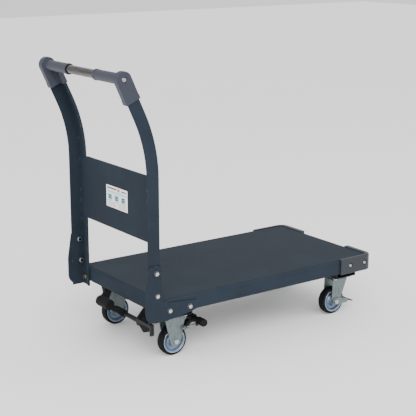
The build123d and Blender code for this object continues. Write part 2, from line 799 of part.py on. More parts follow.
def pedal_shaft():
    """The shaft across the cart that the pedal and the latch dog turn on."""
    left_end = pedal_hanger_offset + hanger_sheet + 8
    return cross_rod(pedal_shaft_x, pedal_shaft_z, pedal_shaft_radius, -pedal_shaft_half, left_end)


def pedal_plate():
    """The pedal: a hub on the shaft, a sloping plate with two ribs and the bar for the foot."""
    half = pedal_half_width - 7
    ends = (pedal_shaft_x, pedal_shaft_z, pedal_foot_x, pedal_foot_z)
    plate = strut(*ends, pedal_sheet, -half, half)
    for y in (-half, half - pedal_sheet):
        plate += strut(ends[0] - 4, ends[1] - 6, ends[2] + 4, ends[3] - 6, 12, y, y + pedal_sheet)
    plate += cross_rod(pedal_shaft_x, pedal_shaft_z, pedal_shaft_radius + 4, -half, half)
    plate += cross_rod(pedal_foot_x, pedal_foot_z, pedal_bar_radius, -half, half)
    return plate - pedal_shaft()


def pedal_grip():
    """The rubber sleeve on the pedal's foot bar."""
    sleeve = cross_rod(pedal_foot_x, pedal_foot_z, pedal_foot_radius, -pedal_half_width, pedal_half_width)
    ends = sleeve.edges().filter_by(GeomType.CIRCLE)
    sleeve = fillet(ends, 5)
    return sleeve - pedal_plate()


def latch_dog():
    """The latch dog: a cheek on the shaft's end and a tooth under the post's foot."""
    x, z = pedal_shaft_x, pedal_shaft_z
    tooth_top = pivot_height - post_sweep - latch_gap
    cheek = outline(
        (x - 20, tooth_top, 4),
        (x + 2, tooth_top - 10, 6),
        (x + 20, z - 4, 8),
        (x + 18, z - 24, 3),
        (x - 14, z - 22, 4),
        (x - 36, tooth_top - 12, 4),
        (x - 36, tooth_top, 2),
    )
    near, far = pedal_shaft_half - 6, pedal_shaft_half
    dog = upright_plate(cheek, near, far)
    dog += block((x - 36, x - 22), (-post_inner + 4, -near), (tooth_top - 12, tooth_top))
    dog += block((x - 36, x - 22), (-post_inner + 4, -post_inner + 10), (z - 8, tooth_top))
    return dog - cross_rod(x, z, pedal_shaft_radius, -far - 1, -near + 1)


def pedal_spring():
    """The coil spring round the shaft that lifts the pedal."""
    turns, wire = 6, 2.6
    radius = pedal_shaft_radius + wire / 2 + 0.6
    height = turns * (wire + 1.0)
    coil = Helix(pitch=height / turns, height=height, radius=radius)
    spring = sweep(Plane(coil @ 0, z_dir=coil % 0) * Circle(wire / 2), path=coil)
    return Pos(pedal_shaft_x, 66, pedal_shaft_z) * Rot(-90, 0, 0) * spring


# ---- Side brake -------------------------------------------------------------------------
def brake_hangers():
    """Plates ahead of the rear crossmember, each with the pin that the brake bar swings on."""
    wall = rear_axle_x + crossmember_width / 2
    x, z = brake_pivot_x, brake_pivot_z
    face = outline(
        (wall, deck_under - 20, 0),
        (wall, caster_height + 2, 3),
        (x - 10, z - 12, 8),
        (x + 12, z - 12, 11),
        (x + 12, z + 16, 11),
        (x + 4, deck_under - 20, 6),
    )
    near = pedal_hanger_offset
    plate = upright_plate(face, near, near + hanger_sheet)
    plate += cross_rod(x, z, brake_pin_radius, -near - hanger_sheet - 9, -near)
    return both(plate)


def brake_bar():
    """The bar across the cart with the arms that hang it from its pins."""
    bar = cross_rod(brake_bar_x, brake_bar_z, brake_bar_radius, -brake_bar_half, brake_bar_half)
    x, z = brake_pivot_x, brake_pivot_z
    near = pedal_hanger_offset + hanger_sheet + moving_gap
    far = near + hanger_sheet
    arm = cross_rod(x, z, brake_pin_radius + 5, -far, -near)
    arm += strut(x, z, brake_bar_x, brake_bar_z, 18, -far, -near)
    arm -= cross_rod(x, z, brake_pin_radius + running_clearance, -far - 1, -near + 1)
    lug_span = (-spring_offset - 1.5, -spring_offset + 1.5)
    arm += strut(brake_bar_x, brake_bar_z, brake_bar_x - 2, spring_z - 4, 10, *lug_span)
    arm -= long_rod(-spring_offset, spring_z, spring_wire / 2, spring_front_x, brake_bar_x - 1)
    return bar + arm + left(arm)


def brake_shoe():
    """The right-hand shoe on the brake bar, just off the tyre's tread."""
    run = math.hypot(brake_bar_x - rear_axle_x, brake_bar_z - wheel_radius)
    reach = (wheel_radius + brake_shoe_gap) / run
    tip_x = rear_axle_x + (brake_bar_x - rear_axle_x) * reach
    tip_z = wheel_radius + (brake_bar_z - wheel_radius) * reach
    half = brake_shoe_width / 2
    span = (-caster_offset - half, -caster_offset + half)
    shoe = strut(brake_bar_x, brake_bar_z, tip_x, tip_z, 10, *span)
    shoe += cross_rod(brake_bar_x, brake_bar_z, brake_bar_radius + 4, *span)
    return shoe - cross_rod(brake_bar_x, brake_bar_z, brake_bar_radius, span[0] - 1, span[1] + 1)


def brake_grip():
    """The rubber sleeve on the right-hand end of the brake bar."""
    near = spring_offset + 9
    far = brake_bar_half + 3
    sleeve = cross_rod(brake_bar_x, brake_bar_z, brake_grip_radius, -far, -near)
    sleeve = fillet(sleeve.edges().filter_by(GeomType.CIRCLE).sort_by(Axis.Y)[0], 6)
    return sleeve - cross_rod(brake_bar_x, brake_bar_z, brake_bar_radius, -brake_bar_half, 0)


def brake_spring():
    """The right-hand coil spring that draws the brake bar back, from the bar's lug to the fork's tab."""
    turns = round(spring_length / (spring_wire + 0.5))
    coil = Helix(pitch=spring_length / turns, height=spring_length, radius=spring_radius)
    spring = sweep(Plane(coil @ 0, z_dir=coil % 0) * Circle(spring_wire / 2), path=coil)
    y, z, half_wire = -spring_offset, spring_z, spring_wire / 2
    rear, front = spring_rear_x, spring_front_x
    rear_hook = long_rod(y, z, spring_radius + half_wire, rear - 3 * half_wire, rear - half_wire)
    rear_hook += long_rod(y, z, half_wire, spring_tab_x - 7, rear - half_wire)
    rear_hook += long_rod(y, z, spring_radius, spring_tab_x - 8.5, spring_tab_x - 7)
    front_hook = long_rod(y, z, spring_radius + half_wire, front + half_wire, front + 3 * half_wire)
    front_hook += long_rod(y, z, half_wire, front + half_wire, brake_bar_x - 1)
    return group(Pos(rear, y, z) * Rot(0, 90, 0) * spring, rear_hook, front_hook)


# ---- Assembly ---------------------------------------------------------------------------
def wheel_nodes(name, x, side):
    """The three pieces of one wheel."""
    return {
        "tyre_" + name: tyre(x, side),
        "wheel_rim_" + name: wheel_rim(x, side),
        "wheel_bearing_" + name: wheel_bearing(x, side),
    }


def all_nodes():
    """Every piece of the cart, by node name, about the deck's centre."""
    nodes = {
        "deck_shell": deck_shell(),
        "front_crossmember": crossmember(front_pin_x),
        "rear_crossmember": crossmember(rear_axle_x),
        "deck_ribs": deck_ribs(),
        "caster_bolts": caster_bolts(),
        "rear_axle_bolts": both(axle_bolt(rear_axle_x, leg_outer)),
        "swivel_plates": both(swivel_plate()),
        "kingpins": both(kingpin()),
        "pivot_bolts": both(pivot_bolt()),
        "bracket_bolts": bracket_bolts(),
        "bumper_screws": bumper_screws(),
        "pedal_hangers": pedal_hangers(),
        "brake_hangers": brake_hangers(),
        "handle_tube": handle_tube(),
        "handle_bolts": both(handle_bolt()),
        "stop_bolts": both(stop_bolt()),
        "stop_pads": stop_pads(),
        "back_panel": back_panel(),
        "label_plate": label_plate(),
        "panel_rivets": panel_rivets(),
        "pedal_shaft": pedal_shaft(),
        "pedal_plate": pedal_plate(),
        "pedal_grip": pedal_grip(),
        "latch_dog": latch_dog(),
        "pedal_spring": pedal_spring(),
        "brake_bar": brake_bar(),
        "brake_shoes": both(brake_shoe()),
        "brake_grips": both(brake_grip()),
        "brake_springs": both(brake_spring()),
    }
    stopper_half = leg_outer + 1.2 + 2 * moving_gap + stopper_sheet
    sided = {
        "foot_bracket": foot_bracket(),
        "bumper": bumper(),
        "rear_fork": rear_fork(),
        "post": post(),
        "elbow_cover": elbow_cover(),
        "front_fork": front_fork(),
        "front_axle_bolt": axle_bolt(front_axle_x, stopper_half),
        "stopper_lever": stopper_lever(),
        "stopper_pedal": stopper_pedal(),
    }
    for name, shape in sided.items():
        nodes[name + "_right"] = shape
        nodes[name + "_left"] = left(shape)
    for end, x in (("rear", rear_axle_x), ("front", front_axle_x)):
        for hand, side in (("right", -1), ("left", 1)):
            nodes.update(wheel_nodes(end + "_" + hand, x, side))
    return nodes


def middle_of(nodes):
    """X of the middle of the whole cart's length."""
    boxes = [shape.bounding_box() for shape in nodes.values()]
    return (min(box.min.X for box in boxes) + max(box.max.X for box in boxes)) / 2


if __name__ == "__main__":
    nodes = all_nodes()
    shift = -middle_of(nodes)
    os.makedirs("parts", exist_ok=True)
    for name, shape in nodes.items():
        export_step(Pos(shift, 0, 0) * shape, "parts/" + name + ".step")
    print(len(nodes), "nodes; everything moved along X by", round(shift, 3))
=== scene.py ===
import json
import math

import bmesh
import bpy
from bpy.props import FloatProperty, FloatVectorProperty, IntProperty, PointerProperty
from mathutils import Matrix, Vector


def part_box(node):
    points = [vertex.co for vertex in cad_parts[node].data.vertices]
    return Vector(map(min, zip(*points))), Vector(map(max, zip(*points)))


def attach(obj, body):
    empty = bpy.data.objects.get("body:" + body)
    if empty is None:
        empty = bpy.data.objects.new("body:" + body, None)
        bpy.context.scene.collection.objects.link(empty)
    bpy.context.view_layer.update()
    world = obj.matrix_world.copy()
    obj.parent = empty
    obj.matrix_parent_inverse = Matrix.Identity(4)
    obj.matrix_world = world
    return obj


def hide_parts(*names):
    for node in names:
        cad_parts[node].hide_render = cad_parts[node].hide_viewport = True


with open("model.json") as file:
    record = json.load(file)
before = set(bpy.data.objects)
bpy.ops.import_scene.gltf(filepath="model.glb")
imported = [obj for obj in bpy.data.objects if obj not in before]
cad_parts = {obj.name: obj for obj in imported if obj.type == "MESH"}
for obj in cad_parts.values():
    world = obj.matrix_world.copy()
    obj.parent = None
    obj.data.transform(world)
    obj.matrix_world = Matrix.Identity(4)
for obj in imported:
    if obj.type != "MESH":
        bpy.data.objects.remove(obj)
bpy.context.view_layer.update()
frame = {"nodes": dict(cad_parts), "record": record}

bl_info = {
    "name": "Folding platform cart",
    "version": (1, 0, 0),
    "blender": (4, 5, 0),
    "location": "3D View > Sidebar > Cart",
    "description": "Builds the visible pieces of a folding platform cart on its CAD frame",
    "category": "Add Mesh",
}

MM = 0.001
MERGE_DISTANCE = 0.005 * MM
FLAT_ANGLE = math.radians(0.5)
SHARP_ANGLE = math.radians(28)
RIGHT, LEFT = -1, 1
HANDS = {"right": RIGHT, "left": LEFT}

# Places and sizes of small details, fixed by the frame's own parts
FORK_FACE = 24 * MM
DOT_SPREAD, DOT_RISE, DOT_HEIGHT = 13 * MM, 18 * MM, 0.7 * MM
RIB_SPREAD, RIB_RISE, RIB_HEIGHT, RIB_RADIUS = 9 * MM, 42 * MM, 1.1 * MM, 1.7 * MM
FOLD_PROUD, FOLD_HALF, FOLD_SETBACK = 0.25 * MM, 0.5 * MM, 26 * MM
TYRE_SEAT, TYRE_ROOT, ROOT_INSET = 9 * MM, 12 * MM, 4 * MM
SEAM_DEPTH, SEAM_HALF, SEAM_CREST = 0.25 * MM, 0.6 * MM, 0.35 * MM
BEAD_RADIUS, BEAD_OFFSET = 40.2 * MM, 14.9 * MM
BOLT_HEAD, BOLT_HEIGHT, RIM_SHANK, POST_SHANK = 10 * MM, 7 * MM, 4 * MM, 5 * MM
BAR_WALL, BAR_EDGE = 2 * MM, 0.3 * MM
BAND_DEPTH, BAND_HALF = 23 * MM, 25.5 * MM
RIVET_RADIUS, RIVET_HEIGHT = 4.5 * MM, 1.9 * MM
INK, LABEL_EDGE = 0.12 * MM, 0.2 * MM
SPRING_WIRE, SPRING_TURNS = 1.3 * MM, 6.0
SLEEVE_EDGE, SLEEVE_BEAD, SLEEVE_ENDS = 1.2 * MM, 0.7 * MM, 16 * MM
COVER_ROUNDS, BUMPER_ROUNDS = 5, 24


# ---- Sizes and colours a user would change ----
def length(name, description, default):
    """A size in metres, given in millimetres."""
    return FloatProperty(name=name, description=description, default=default * MM, subtype="DISTANCE",
                         unit="LENGTH", precision=5)


def colour(name, description, default):
    """A linear colour."""
    return FloatVectorProperty(name=name, description=description, default=default, subtype="COLOR",
                               min=0, max=1)


class CartSizes(bpy.types.PropertyGroup):
    """Sizes of the details that the frame leaves to the visible pieces."""

    sheet_edge: length("Sheet edge", "Rounding of cut sheet edges", 0.5)
    bumper_grid: length("Bumper grid", "Grid that the bumpers are moulded on", 0.9)
    rib_reach: length("Fork rib", "Length of the pressed ribs on the fixed forks", 34.0)
    lip_bead: length("Rim bead", "Thickness of the rolled bead round a rim", 1.8)
    cover_grid: length("Cover grid", "Grid that the elbow covers are moulded on", 1.1)
    cover_band: length("Cover band", "How far the cover's end band stands out", 0.7)
    cover_band_height: length("Cover band height", "Height of the cover's end band", 15.0)
    cover_leg: length("Cover leg", "Length of the cover's leg below the bar", 75.0)
    lean: FloatProperty(name="Lean", description="Lean of the posts above their bend",
                        default=math.radians(24.5), subtype="ANGLE", unit="ROTATION")
    tread_crown: length("Tread crown", "How much the tread is rounded across its width", 0.8)
    shoulder: length("Tyre shoulder", "Rounding of the tyre's shoulders", 6.0)
    wheel_steps: IntProperty(name="Wheel steps", description="Faces round a wheel", default=96)
    bolt_flange: length("Bolt flange", "Height of the flange under a bolt's head", 2.0)
    bolt_chamfer: length("Bolt chamfer", "Chamfer on a hexagon head", 1.2)
    dimple_radius: length("Dimple", "Radius of the pressed dots on the forks", 1.8)
    rib_pitch: length("Rib pitch", "Pitch of the ribs on the rubber sleeves", 4.0)
    rim_fold: length("Rim fold", "Height of the fold line below the deck's top", 11.0)


class CartColours(bpy.types.PropertyGroup):
    """Colours of the cart's finishes and of the stage."""

    slate: colour("Slate powder coat", "Deck, posts, panel and brackets", (0.0178, 0.0246, 0.0340))
    black: colour("Black paint", "Members and pedals under the deck", (0.006, 0.006, 0.007))
    zinc: colour("Galvanised sheet", "Caster forks", (0.165, 0.20, 0.20))
    bright: colour("Bright zinc", "Bolts and screws", (0.46, 0.47, 0.48))
    yellow: colour("Yellow zinc", "Stop pad screws", (0.62, 0.44, 0.20))
    spring: colour("Spring steel", "Springs", (0.36, 0.36, 0.38))
    chrome: colour("Chrome", "Push bar", (0.078, 0.077, 0.073))
    moulding: colour("Grey moulding", "Elbow covers", (0.027, 0.030, 0.045))
    bumper: colour("Bumper moulding", "Corner bumpers", (0.0185, 0.0225, 0.029))
    rubber: colour("Black rubber", "Pedal and brake sleeves", (0.007, 0.007, 0.008))
    tyre: colour("Tyre rubber", "Tyres", (0.005, 0.006, 0.007))
    rim: colour("Rim zinc", "Wheel rims", (0.165, 0.225, 0.325))
    bronze: colour("Bearing bronze", "Wheel bearings", (0.45, 0.27, 0.13))
    film: colour("Label film", "Ground of the label", (0.80, 0.80, 0.78))
    dark_ink: colour("Dark ink", "Bars on the label", (0.03, 0.035, 0.05))
    blue_ink: colour("Blue ink", "Row on the label", (0.36, 0.58, 0.70))
    grey_ink: colour("Grey ink", "Small print rows on the label", (0.30, 0.31, 0.33))
    red_ink: colour("Red ink", "Spot on the label", (0.62, 0.12, 0.05))
    floor: colour("Floor", "Floor under the cart", (0.93, 0.93, 0.93))


# ---- Node trees ----
class Wire:
    """A node's output that can be used in sums; each operation adds its Math node."""

    def __init__(self, tree, socket):
        self.tree = tree
        self.socket = socket

    def math(self, operation, *values):
        """A Math node of this operation on the given values."""
        sockets = dict(enumerate(values))
        return self.tree.node("ShaderNodeMath", {"operation": operation}, sockets)

    def __add__(self, other):
        return self.math("ADD", self, other)

    def __radd__(self, other):
        return self.math("ADD", other, self)

    def __sub__(self, other):
        return self.math("SUBTRACT", self, other)

    def __rsub__(self, other):
        return self.math("SUBTRACT", other, self)

    def __mul__(self, other):
        return self.math("MULTIPLY", self, other)

    def __rmul__(self, other):
        return self.math("MULTIPLY", other, self)

    def __truediv__(self, other):
        return self.math("DIVIDE", self, other)

    def __rtruediv__(self, other):
        return self.math("DIVIDE", other, self)

    def __neg__(self):
        return self.math("MULTIPLY", self, -1.0)

    def over(self, low, high):
        """0 below low, 1 above high, and smooth between them."""
        settings = {"interpolation_type": "SMOOTHSTEP"}
        sockets = {"Value": self, "From Min": low, "From Max": high}
        return self.tree.node("ShaderNodeMapRange", settings, sockets)


class Tree:
    """A node tree that is filled by one method."""

    def __init__(self, nodes_of):
        self.tree = nodes_of

    def node(self, kind, settings=None, sockets=None, output=0):
        """Adds a node: its settings first, then the values or links of its sockets."""
        made = self.tree.nodes.new(kind)
        for name, value in (settings or {}).items():
            setattr(made, name, value)
        for key, value in (sockets or {}).items():
            for item in value if isinstance(value, list) else [value]:
                if isinstance(item, Wire):
                    self.tree.links.new(item.socket, made.inputs[key])
                else:
                    made.inputs[key].default_value = item
        return Wire(self, made.outputs[output]) if made.outputs else None


class Finish(Tree):
    """A material made of nodes that read the object's own coordinates."""

    def __init__(self, name):
        self.material = bpy.data.materials.new(name)
        self.material.use_nodes = True
        super().__init__(self.material.node_tree)
        self.tree.nodes.clear()
        self.place = self.node("ShaderNodeTexCoord", output=3)

    def stretched(self, scale):
        """The object's coordinates, scaled along each axis."""
        settings = {"operation": "MULTIPLY"}
        return self.node("ShaderNodeVectorMath", settings, {0: self.place, 1: scale})

    def noise(self, size, detail=3.0, place=None):
        """Soft noise whose features are about this size in metres."""
        sockets = {"Vector": place or self.place, "Scale": 1 / size, "Detail": detail}
        return self.node("ShaderNodeTexNoise", sockets=sockets)

    def cells(self, size, output=0):
        """Cells of about this size: their distance, or their random colour as output 1."""
        return self.node("ShaderNodeTexVoronoi", sockets={"Vector": self.place, "Scale": 1 / size},
                         output=output)

    def edges(self):
        """1 on the rounded edges of a piece and 0 elsewhere."""
        return self.node("ShaderNodeAttribute", {"attribute_name": "edge"}, output=2)

    def painted_shade(self):
        """1 on the walls and recesses of bolts and screws, which are darkened as painted shade, and 0
        elsewhere.
        """
        return self.node("ShaderNodeAttribute", {"attribute_name": "painted_shade"}, output=2)

    def wear(self, amount):
        """Where the edges are rubbed, in patches."""
        return self.edges() * self.noise(18 * MM, 6.0).over(0.62 - amount, 0.72)

    def mix(self, factor, a, b):
        """One colour laid over another."""
        sockets = {0: factor, 6: a, 7: b}
        return self.node("ShaderNodeMix", {"data_type": "RGBA"}, sockets, output=2)

    def surface(self, colour, roughness, metallic=0.0, height=None, depth=0.0, **more):
        """The shader, with a bump where a height is given; even values stay on its own sockets."""
        sockets = {"Base Color": colour, "Roughness": roughness, "Metallic": metallic}
        sockets.update({name.replace("_", " ").title().replace("Ior", "IOR"): v for name, v in more.items()})
        if height is not None:
            bump = {"Strength": 1.0, "Distance": depth, "Height": height}
            sockets["Normal"] = self.node("ShaderNodeBump", sockets=bump)
        shader = self.node("ShaderNodeBsdfPrincipled", sockets=sockets)
        self.node("ShaderNodeOutputMaterial", sockets={"Surface": shader})
        return self.material


class Pattern(Tree):
    """A Geometry Nodes tree with named inputs, ending in plain mesh with its material."""

    def __init__(self, name, inputs):
        super().__init__(bpy.data.node_groups.new(name, "GeometryNodeTree"))
        face = self.tree.interface
        face.new_socket("Geometry", in_out="INPUT", socket_type="NodeSocketGeometry")
        for label, kind in inputs.items():
            face.new_socket(label, in_out="INPUT", socket_type=kind)
        face.new_socket("Material", in_out="INPUT", socket_type="NodeSocketMaterial")
        face.new_socket("Geometry", in_out="OUTPUT", socket_type="NodeSocketGeometry")
        self.entry = self.tree.nodes.new("NodeGroupInput")

    def given(self, name):
        """A named input of the tree."""
        return Wire(self, self.entry.outputs[name])

    def join(self, *shapes):
        """Several shapes as one."""
        return self.node("GeometryNodeJoinGeometry", sockets={0: list(reversed(shapes))})

    def moved(self, shape, x=0.0, y=0.0, z=0.0, turn=(0, 0, 0), scale=(1, 1, 1)):
        """A shape put in its place."""
        place = self.node("ShaderNodeCombineXYZ", sockets={0: x, 1: y, 2: z})
        sockets = {"Geometry": shape, "Translation": place, "Rotation": turn, "Scale": scale}
        return self.node("GeometryNodeTransform", sockets=sockets)

    def cylinder(self, sides, radius, depth):
        """A closed cylinder or prism about Z."""
        sockets = {"Vertices": sides, "Radius": radius, "Depth": depth}
        return self.node("GeometryNodeMeshCylinder", sockets=sockets)

    def cone(self, sides, bottom, top, depth):
        """A closed cut cone that stands on Z = 0."""
        sockets = {"Vertices": sides, "Radius Bottom": bottom, "Radius Top": top, "Depth": depth}
        return self.node("GeometryNodeMeshCone", sockets=sockets)

    def with_painted_shade(self, shape, *walls):
        """The shape with these outputs of its own node marked for painted shade, or all of it."""
        for wall in walls or (None,):
            sockets = {"Geometry": shape, "Name": "painted_shade", "Value": 1.0}
            if wall:
                sockets["Selection"] = Wire(self, shape.socket.node.outputs[wall])
            settings = {"data_type": "FLOAT", "domain": "FACE"}
            shape = self.node("GeometryNodeStoreNamedAttribute", settings, sockets)
        return shape

    def at_points(self, shape):
        """A copy of the shape at each point, its Z along the point's axis."""
        named = {"data_type": "FLOAT_VECTOR"}
        axis = self.node("GeometryNodeInputNamedAttribute", named, {"Name": "axis"})
        turn = self.node("FunctionNodeAlignRotationToVector", {"axis": "Z"}, {"Vector": axis})
        sockets = {"Points": self.given("Geometry"), "Instance": shape, "Rotation": turn}
        return self.node("GeometryNodeInstanceOnPoints", sockets=sockets)

    def finish(self, shape):
        """Ends the tree in real, painted mesh."""
        real = self.node("GeometryNodeRealizeInstances", sockets={"Geometry": shape})
        sockets = {"Geometry": real, "Material": self.given("Material")}
        painted = self.node("GeometryNodeSetMaterial", sockets=sockets)
        self.node("NodeGroupOutput", sockets={0: painted})
        return self.tree


# ---- Finishes ----
def lighter(colour, gain):
    """The colour scaled, with a full alpha."""
    return tuple(min(channel * gain, 1.0) for channel in colour[:3]) + (1.0,)


def powder_coat(name, colour, bare):
    """Satin powder coat: orange peel, faint clouding, and rubbed edges that show lighter."""
    paint = Finish(name)
    cloud = paint.noise(160 * MM, 4.0)
    dust = paint.noise(22 * MM, 8.0).over(0.55, 0.8)
    tone = paint.mix(cloud.over(0.35, 0.65), lighter(colour, 0.93), lighter(colour, 1.09))
    tone = paint.mix(dust * 0.10, tone, lighter(colour, 2.2))
    rubbed = paint.wear(0.08)
    tone = paint.mix(rubbed * 0.55, tone, lighter(bare, 0.55))
    peel = paint.noise(1.7 * MM, 2.0) * 0.7 + paint.noise(0.5 * MM, 1.0) * 0.3
    rough = 0.48 + cloud * 0.10 + dust * 0.08 - rubbed * 0.08
    return paint.surface(tone, rough, height=peel, depth=0.03 * MM, specular_ior_level=0.04)


def black_paint(name, colour, bare):
    """Dipped black paint with dust in it and edges rubbed to grey."""
    paint = Finish(name)
    cloud = paint.noise(60 * MM, 5.0)
    rubbed = paint.wear(0.12)
    tone = paint.mix(cloud, lighter(colour, 0.7), lighter(colour, 1.6))
    tone = paint.mix(rubbed * 0.5, tone, lighter(bare, 0.4))
    return paint.surface(tone, 0.42 + cloud * 0.18, height=paint.noise(3 * MM, 3.0), depth=0.08 * MM,
                         specular_ior_level=0.2)


def galvanised(name, colour, spangle):
    """Galvanised sheet: crystal spangle, cloudy oxide, bright rubbed edges."""
    paint = Finish(name)
    flake = paint.node("ShaderNodeSeparateColor", sockets={0: paint.cells(spangle, output=1)})
    cloud = paint.noise(35 * MM, 6.0)
    rubbed = paint.wear(0.14)
    shade = flake * 0.5 + cloud * 0.5
    tone = paint.mix(shade, lighter(colour, 0.72), lighter(colour, 1.18))
    tone = paint.mix(rubbed * 0.6, tone, lighter(colour, 1.5))
    rough = 0.34 + flake * 0.10 + cloud * 0.16 - rubbed * 0.10
    grain = flake * 0.4 + paint.noise(1.2 * MM, 4.0) * 0.6
    return paint.surface(tone, rough, 0.82, grain, 0.05 * MM)


def plated(name, colour, roughness, haze):
    """Bright plating with a fine grain, hazy patches, small marks, and painted shade that darkens the marked
    walls and recesses of bolts and screws.
    """
    paint = Finish(name)
    cloud = paint.noise(9 * MM, 5.0)
    marks = paint.noise(2.2 * MM, 8.0).over(0.60, 0.75)
    tone = paint.mix(cloud * haze, lighter(colour, 1.05), lighter(colour, 0.62))
    tone = paint.mix(marks * 0.35, tone, lighter(colour, 0.45))
    # Painted shade: the walls and recesses marked on bolts and screws are darkened towards 0.12 of the
    # colour.
    tone = paint.mix(paint.painted_shade() * (0.60 + cloud * 0.40), tone, lighter(colour, 0.12))
    rough = roughness + cloud * 0.16 + marks * 0.15
    return paint.surface(tone, rough, 0.92, paint.noise(0.8 * MM, 3.0), 0.03 * MM)


def chrome_plate(name, colour):
    """Polished tube with draw lines along it, whose light and dark streaks are partly painted reflection,
    and a few hand marks.
    """
    paint = Finish(name)
    lines = paint.noise(1.0 * MM, 4.0, paint.stretched((1.0, 0.02, 1.0)))
    marks = paint.noise(26 * MM, 7.0).over(0.55, 0.75)
    # Painted reflection: the draw lines swing the colour between 0.55 and 1.40 of it, as light and dark
    # streaks along the tube.
    tone = paint.mix(lines.over(0.38, 0.60), lighter(colour, 0.55), lighter(colour, 1.40))
    return paint.surface(tone, 0.14 + lines * 0.08 + marks * 0.14, 1.0, lines, 0.015 * MM)


def moulding(name, colour):
    """Moulded plastic: fine leather-like grain, pale scuffs and lighter rubbed edges."""
    paint = Finish(name)
    grain = paint.cells(0.9 * MM) * 0.6 + paint.noise(0.5 * MM, 2.0) * 0.4
    cloud = paint.noise(48 * MM, 4.0)
    scuff = paint.noise(7 * MM, 9.0, paint.stretched((0.4, 1.0, 1.6))).over(0.60, 0.76)
    tone = paint.mix(cloud, lighter(colour, 0.90), lighter(colour, 1.12))
    tone = paint.mix(scuff * 0.22 + paint.wear(0.10) * 0.25, tone, lighter(colour, 1.9))
    rough = 0.38 + grain * 0.10 + scuff * 0.12
    return paint.surface(tone, rough, height=grain, depth=0.05 * MM, specular_ior_level=0.28)


def soft_rubber(name, colour, dust_gain):
    """Matt rubber with a bloom of dust and a fine skin."""
    paint = Finish(name)
    bloom = paint.noise(28 * MM, 7.0).over(0.42, 0.72)
    skin = paint.noise(1.1 * MM, 5.0)
    tone = paint.mix(bloom * 0.5, lighter(colour, 0.9), lighter(colour, dust_gain))
    return paint.surface(tone, 0.58 + bloom * 0.22, height=skin, depth=0.06 * MM, specular_ior_level=0.08)


def printed_film(name, colour, age):
    """Printed film: nearly even, slightly yellowed, with a soft waviness."""
    paint = Finish(name)
    cloud = paint.noise(30 * MM, 4.0)
    tone = paint.mix(cloud * age, lighter(colour, 1.04), lighter(colour, 0.86))
    wave = paint.noise(6 * MM, 2.0)
    return paint.surface(tone, 0.30 + cloud * 0.12, height=wave, depth=0.04 * MM)


def studio_floor(name, colour):
    """A plain pale floor with a barely visible grain."""
    paint = Finish(name)
    cloud = paint.noise(1.2, 3.0)
    tone = paint.mix(cloud, lighter(colour, 0.985), lighter(colour, 1.015))
    return paint.surface(tone, 0.75 + cloud * 0.08)


FINISHES = {
    "slate_paint": lambda c: powder_coat("slate_paint", c.slate, c.bright),
    "black_paint": lambda c: black_paint("black_paint", c.black, c.bright),
    "zinc_plate": lambda c: galvanised("zinc_plate", c.zinc, 6 * MM),
    "bright_zinc": lambda c: plated("bright_zinc", c.bright, 0.22, 0.35),
    "yellow_zinc": lambda c: plated("yellow_zinc", c.yellow, 0.26, 0.55),
    "spring_steel": lambda c: plated("spring_steel", c.spring, 0.30, 0.40),
    "chrome_tube": lambda c: chrome_plate("chrome_tube", c.chrome),
    "grey_plastic": lambda c: moulding("grey_plastic", c.moulding),
    "bumper_plastic": lambda c: moulding("bumper_plastic", c.bumper),
    "black_rubber": lambda c: soft_rubber("black_rubber", c.rubber, 2.6),
    "label_film": lambda c: printed_film("label_film", c.film, 0.6),
    "tyre_rubber": lambda c: soft_rubber("tyre_rubber", c.tyre, 2.2),
    "rim_steel": lambda c: galvanised("rim_steel", c.rim, 11 * MM),
    "bearing_bronze": lambda c: plated("bearing_bronze", c.bronze, 0.32, 0.50),
    "dark_ink": lambda c: printed_film("dark_ink", c.dark_ink, 0.4),
    "blue_ink": lambda c: printed_film("blue_ink", c.blue_ink, 0.4),
    "grey_ink": lambda c: printed_film("grey_ink", c.grey_ink, 0.4),
    "red_ink": lambda c: printed_film("red_ink", c.red_ink, 0.4),
    "studio_floor": lambda c: studio_floor("studio_floor", c.floor),
}


finishes_made = {}


def finish_of(name):
    """The finish of this name, made the first time it is asked for."""
    if name not in finishes_made:
        finishes_made[name] = FINISHES[name](bpy.context.scene.cart_colours)
    return finishes_made[name]


# ---- Facts taken from the frame ----
node_slot = {part["node"]: part["material_slot"] for part in frame["record"]["subparts"]}
node_body = {node: body for body, nodes in frame["record"]["behaviour"]["bodies"].items() for node in nodes}


def merged(node):
    """A CAD node's shape as a bmesh whose triangles are joined."""
    form = bmesh.new()
    form.from_mesh(frame["nodes"][node].data)
    bmesh.ops.remove_doubles(form, verts=form.verts, dist=MERGE_DISTANCE)
    return form


def solids_of(node):
    """The box of each separate solid in a CAD node."""
    form = merged(node)
    waiting = set(form.verts)
    boxes = []
    while waiting:
        found = [waiting.pop()]
        for vert in found:
            near = {edge.other_vert(vert) for edge in vert.link_edges} & waiting
            waiting -= near
            found.extend(near)
        corners = [[pick(vert.co[axis] for vert in found) for axis in range(3)] for pick in (min, max)]
        boxes.append((Vector(corners[0]), Vector(corners[1])))
    form.free()
    return sorted(boxes, key=lambda box: tuple(round(value, 5) for value in box[0]))


def middle(box):
    """The middle of a box."""
    return (box[0] + box[1]) / 2


def bolts_of(node):
    """Outer end and length of each bolt in a node, its nut included, for bolts along Y."""
    found = {}
    for low, high in solids_of(node):
        centre = middle((low, high))
        side = RIGHT if centre.y < 0 else LEFT
        key = (round(centre.x, 4), round(centre.z, 4), side)
        near, far = sorted((abs(low.y), abs(high.y)))
        known = found.get(key, (near, far))
        found[key] = (min(near, known[0]), max(far, known[1]))
    return [
        (Vector((x, side * far, z)), Vector((0, side, 0)), far - near)
        for (x, z, side), (near, far) in sorted(found.items())
    ]


# ---- Shapes ----
def shade(form):
    """Every face smooth."""
    for face in form.faces:
        face.smooth = True


def to_mesh(form, name):
    """The bmesh as a mesh."""
    mesh = bpy.data.meshes.new(name)
    form.to_mesh(mesh)
    form.free()
    return mesh


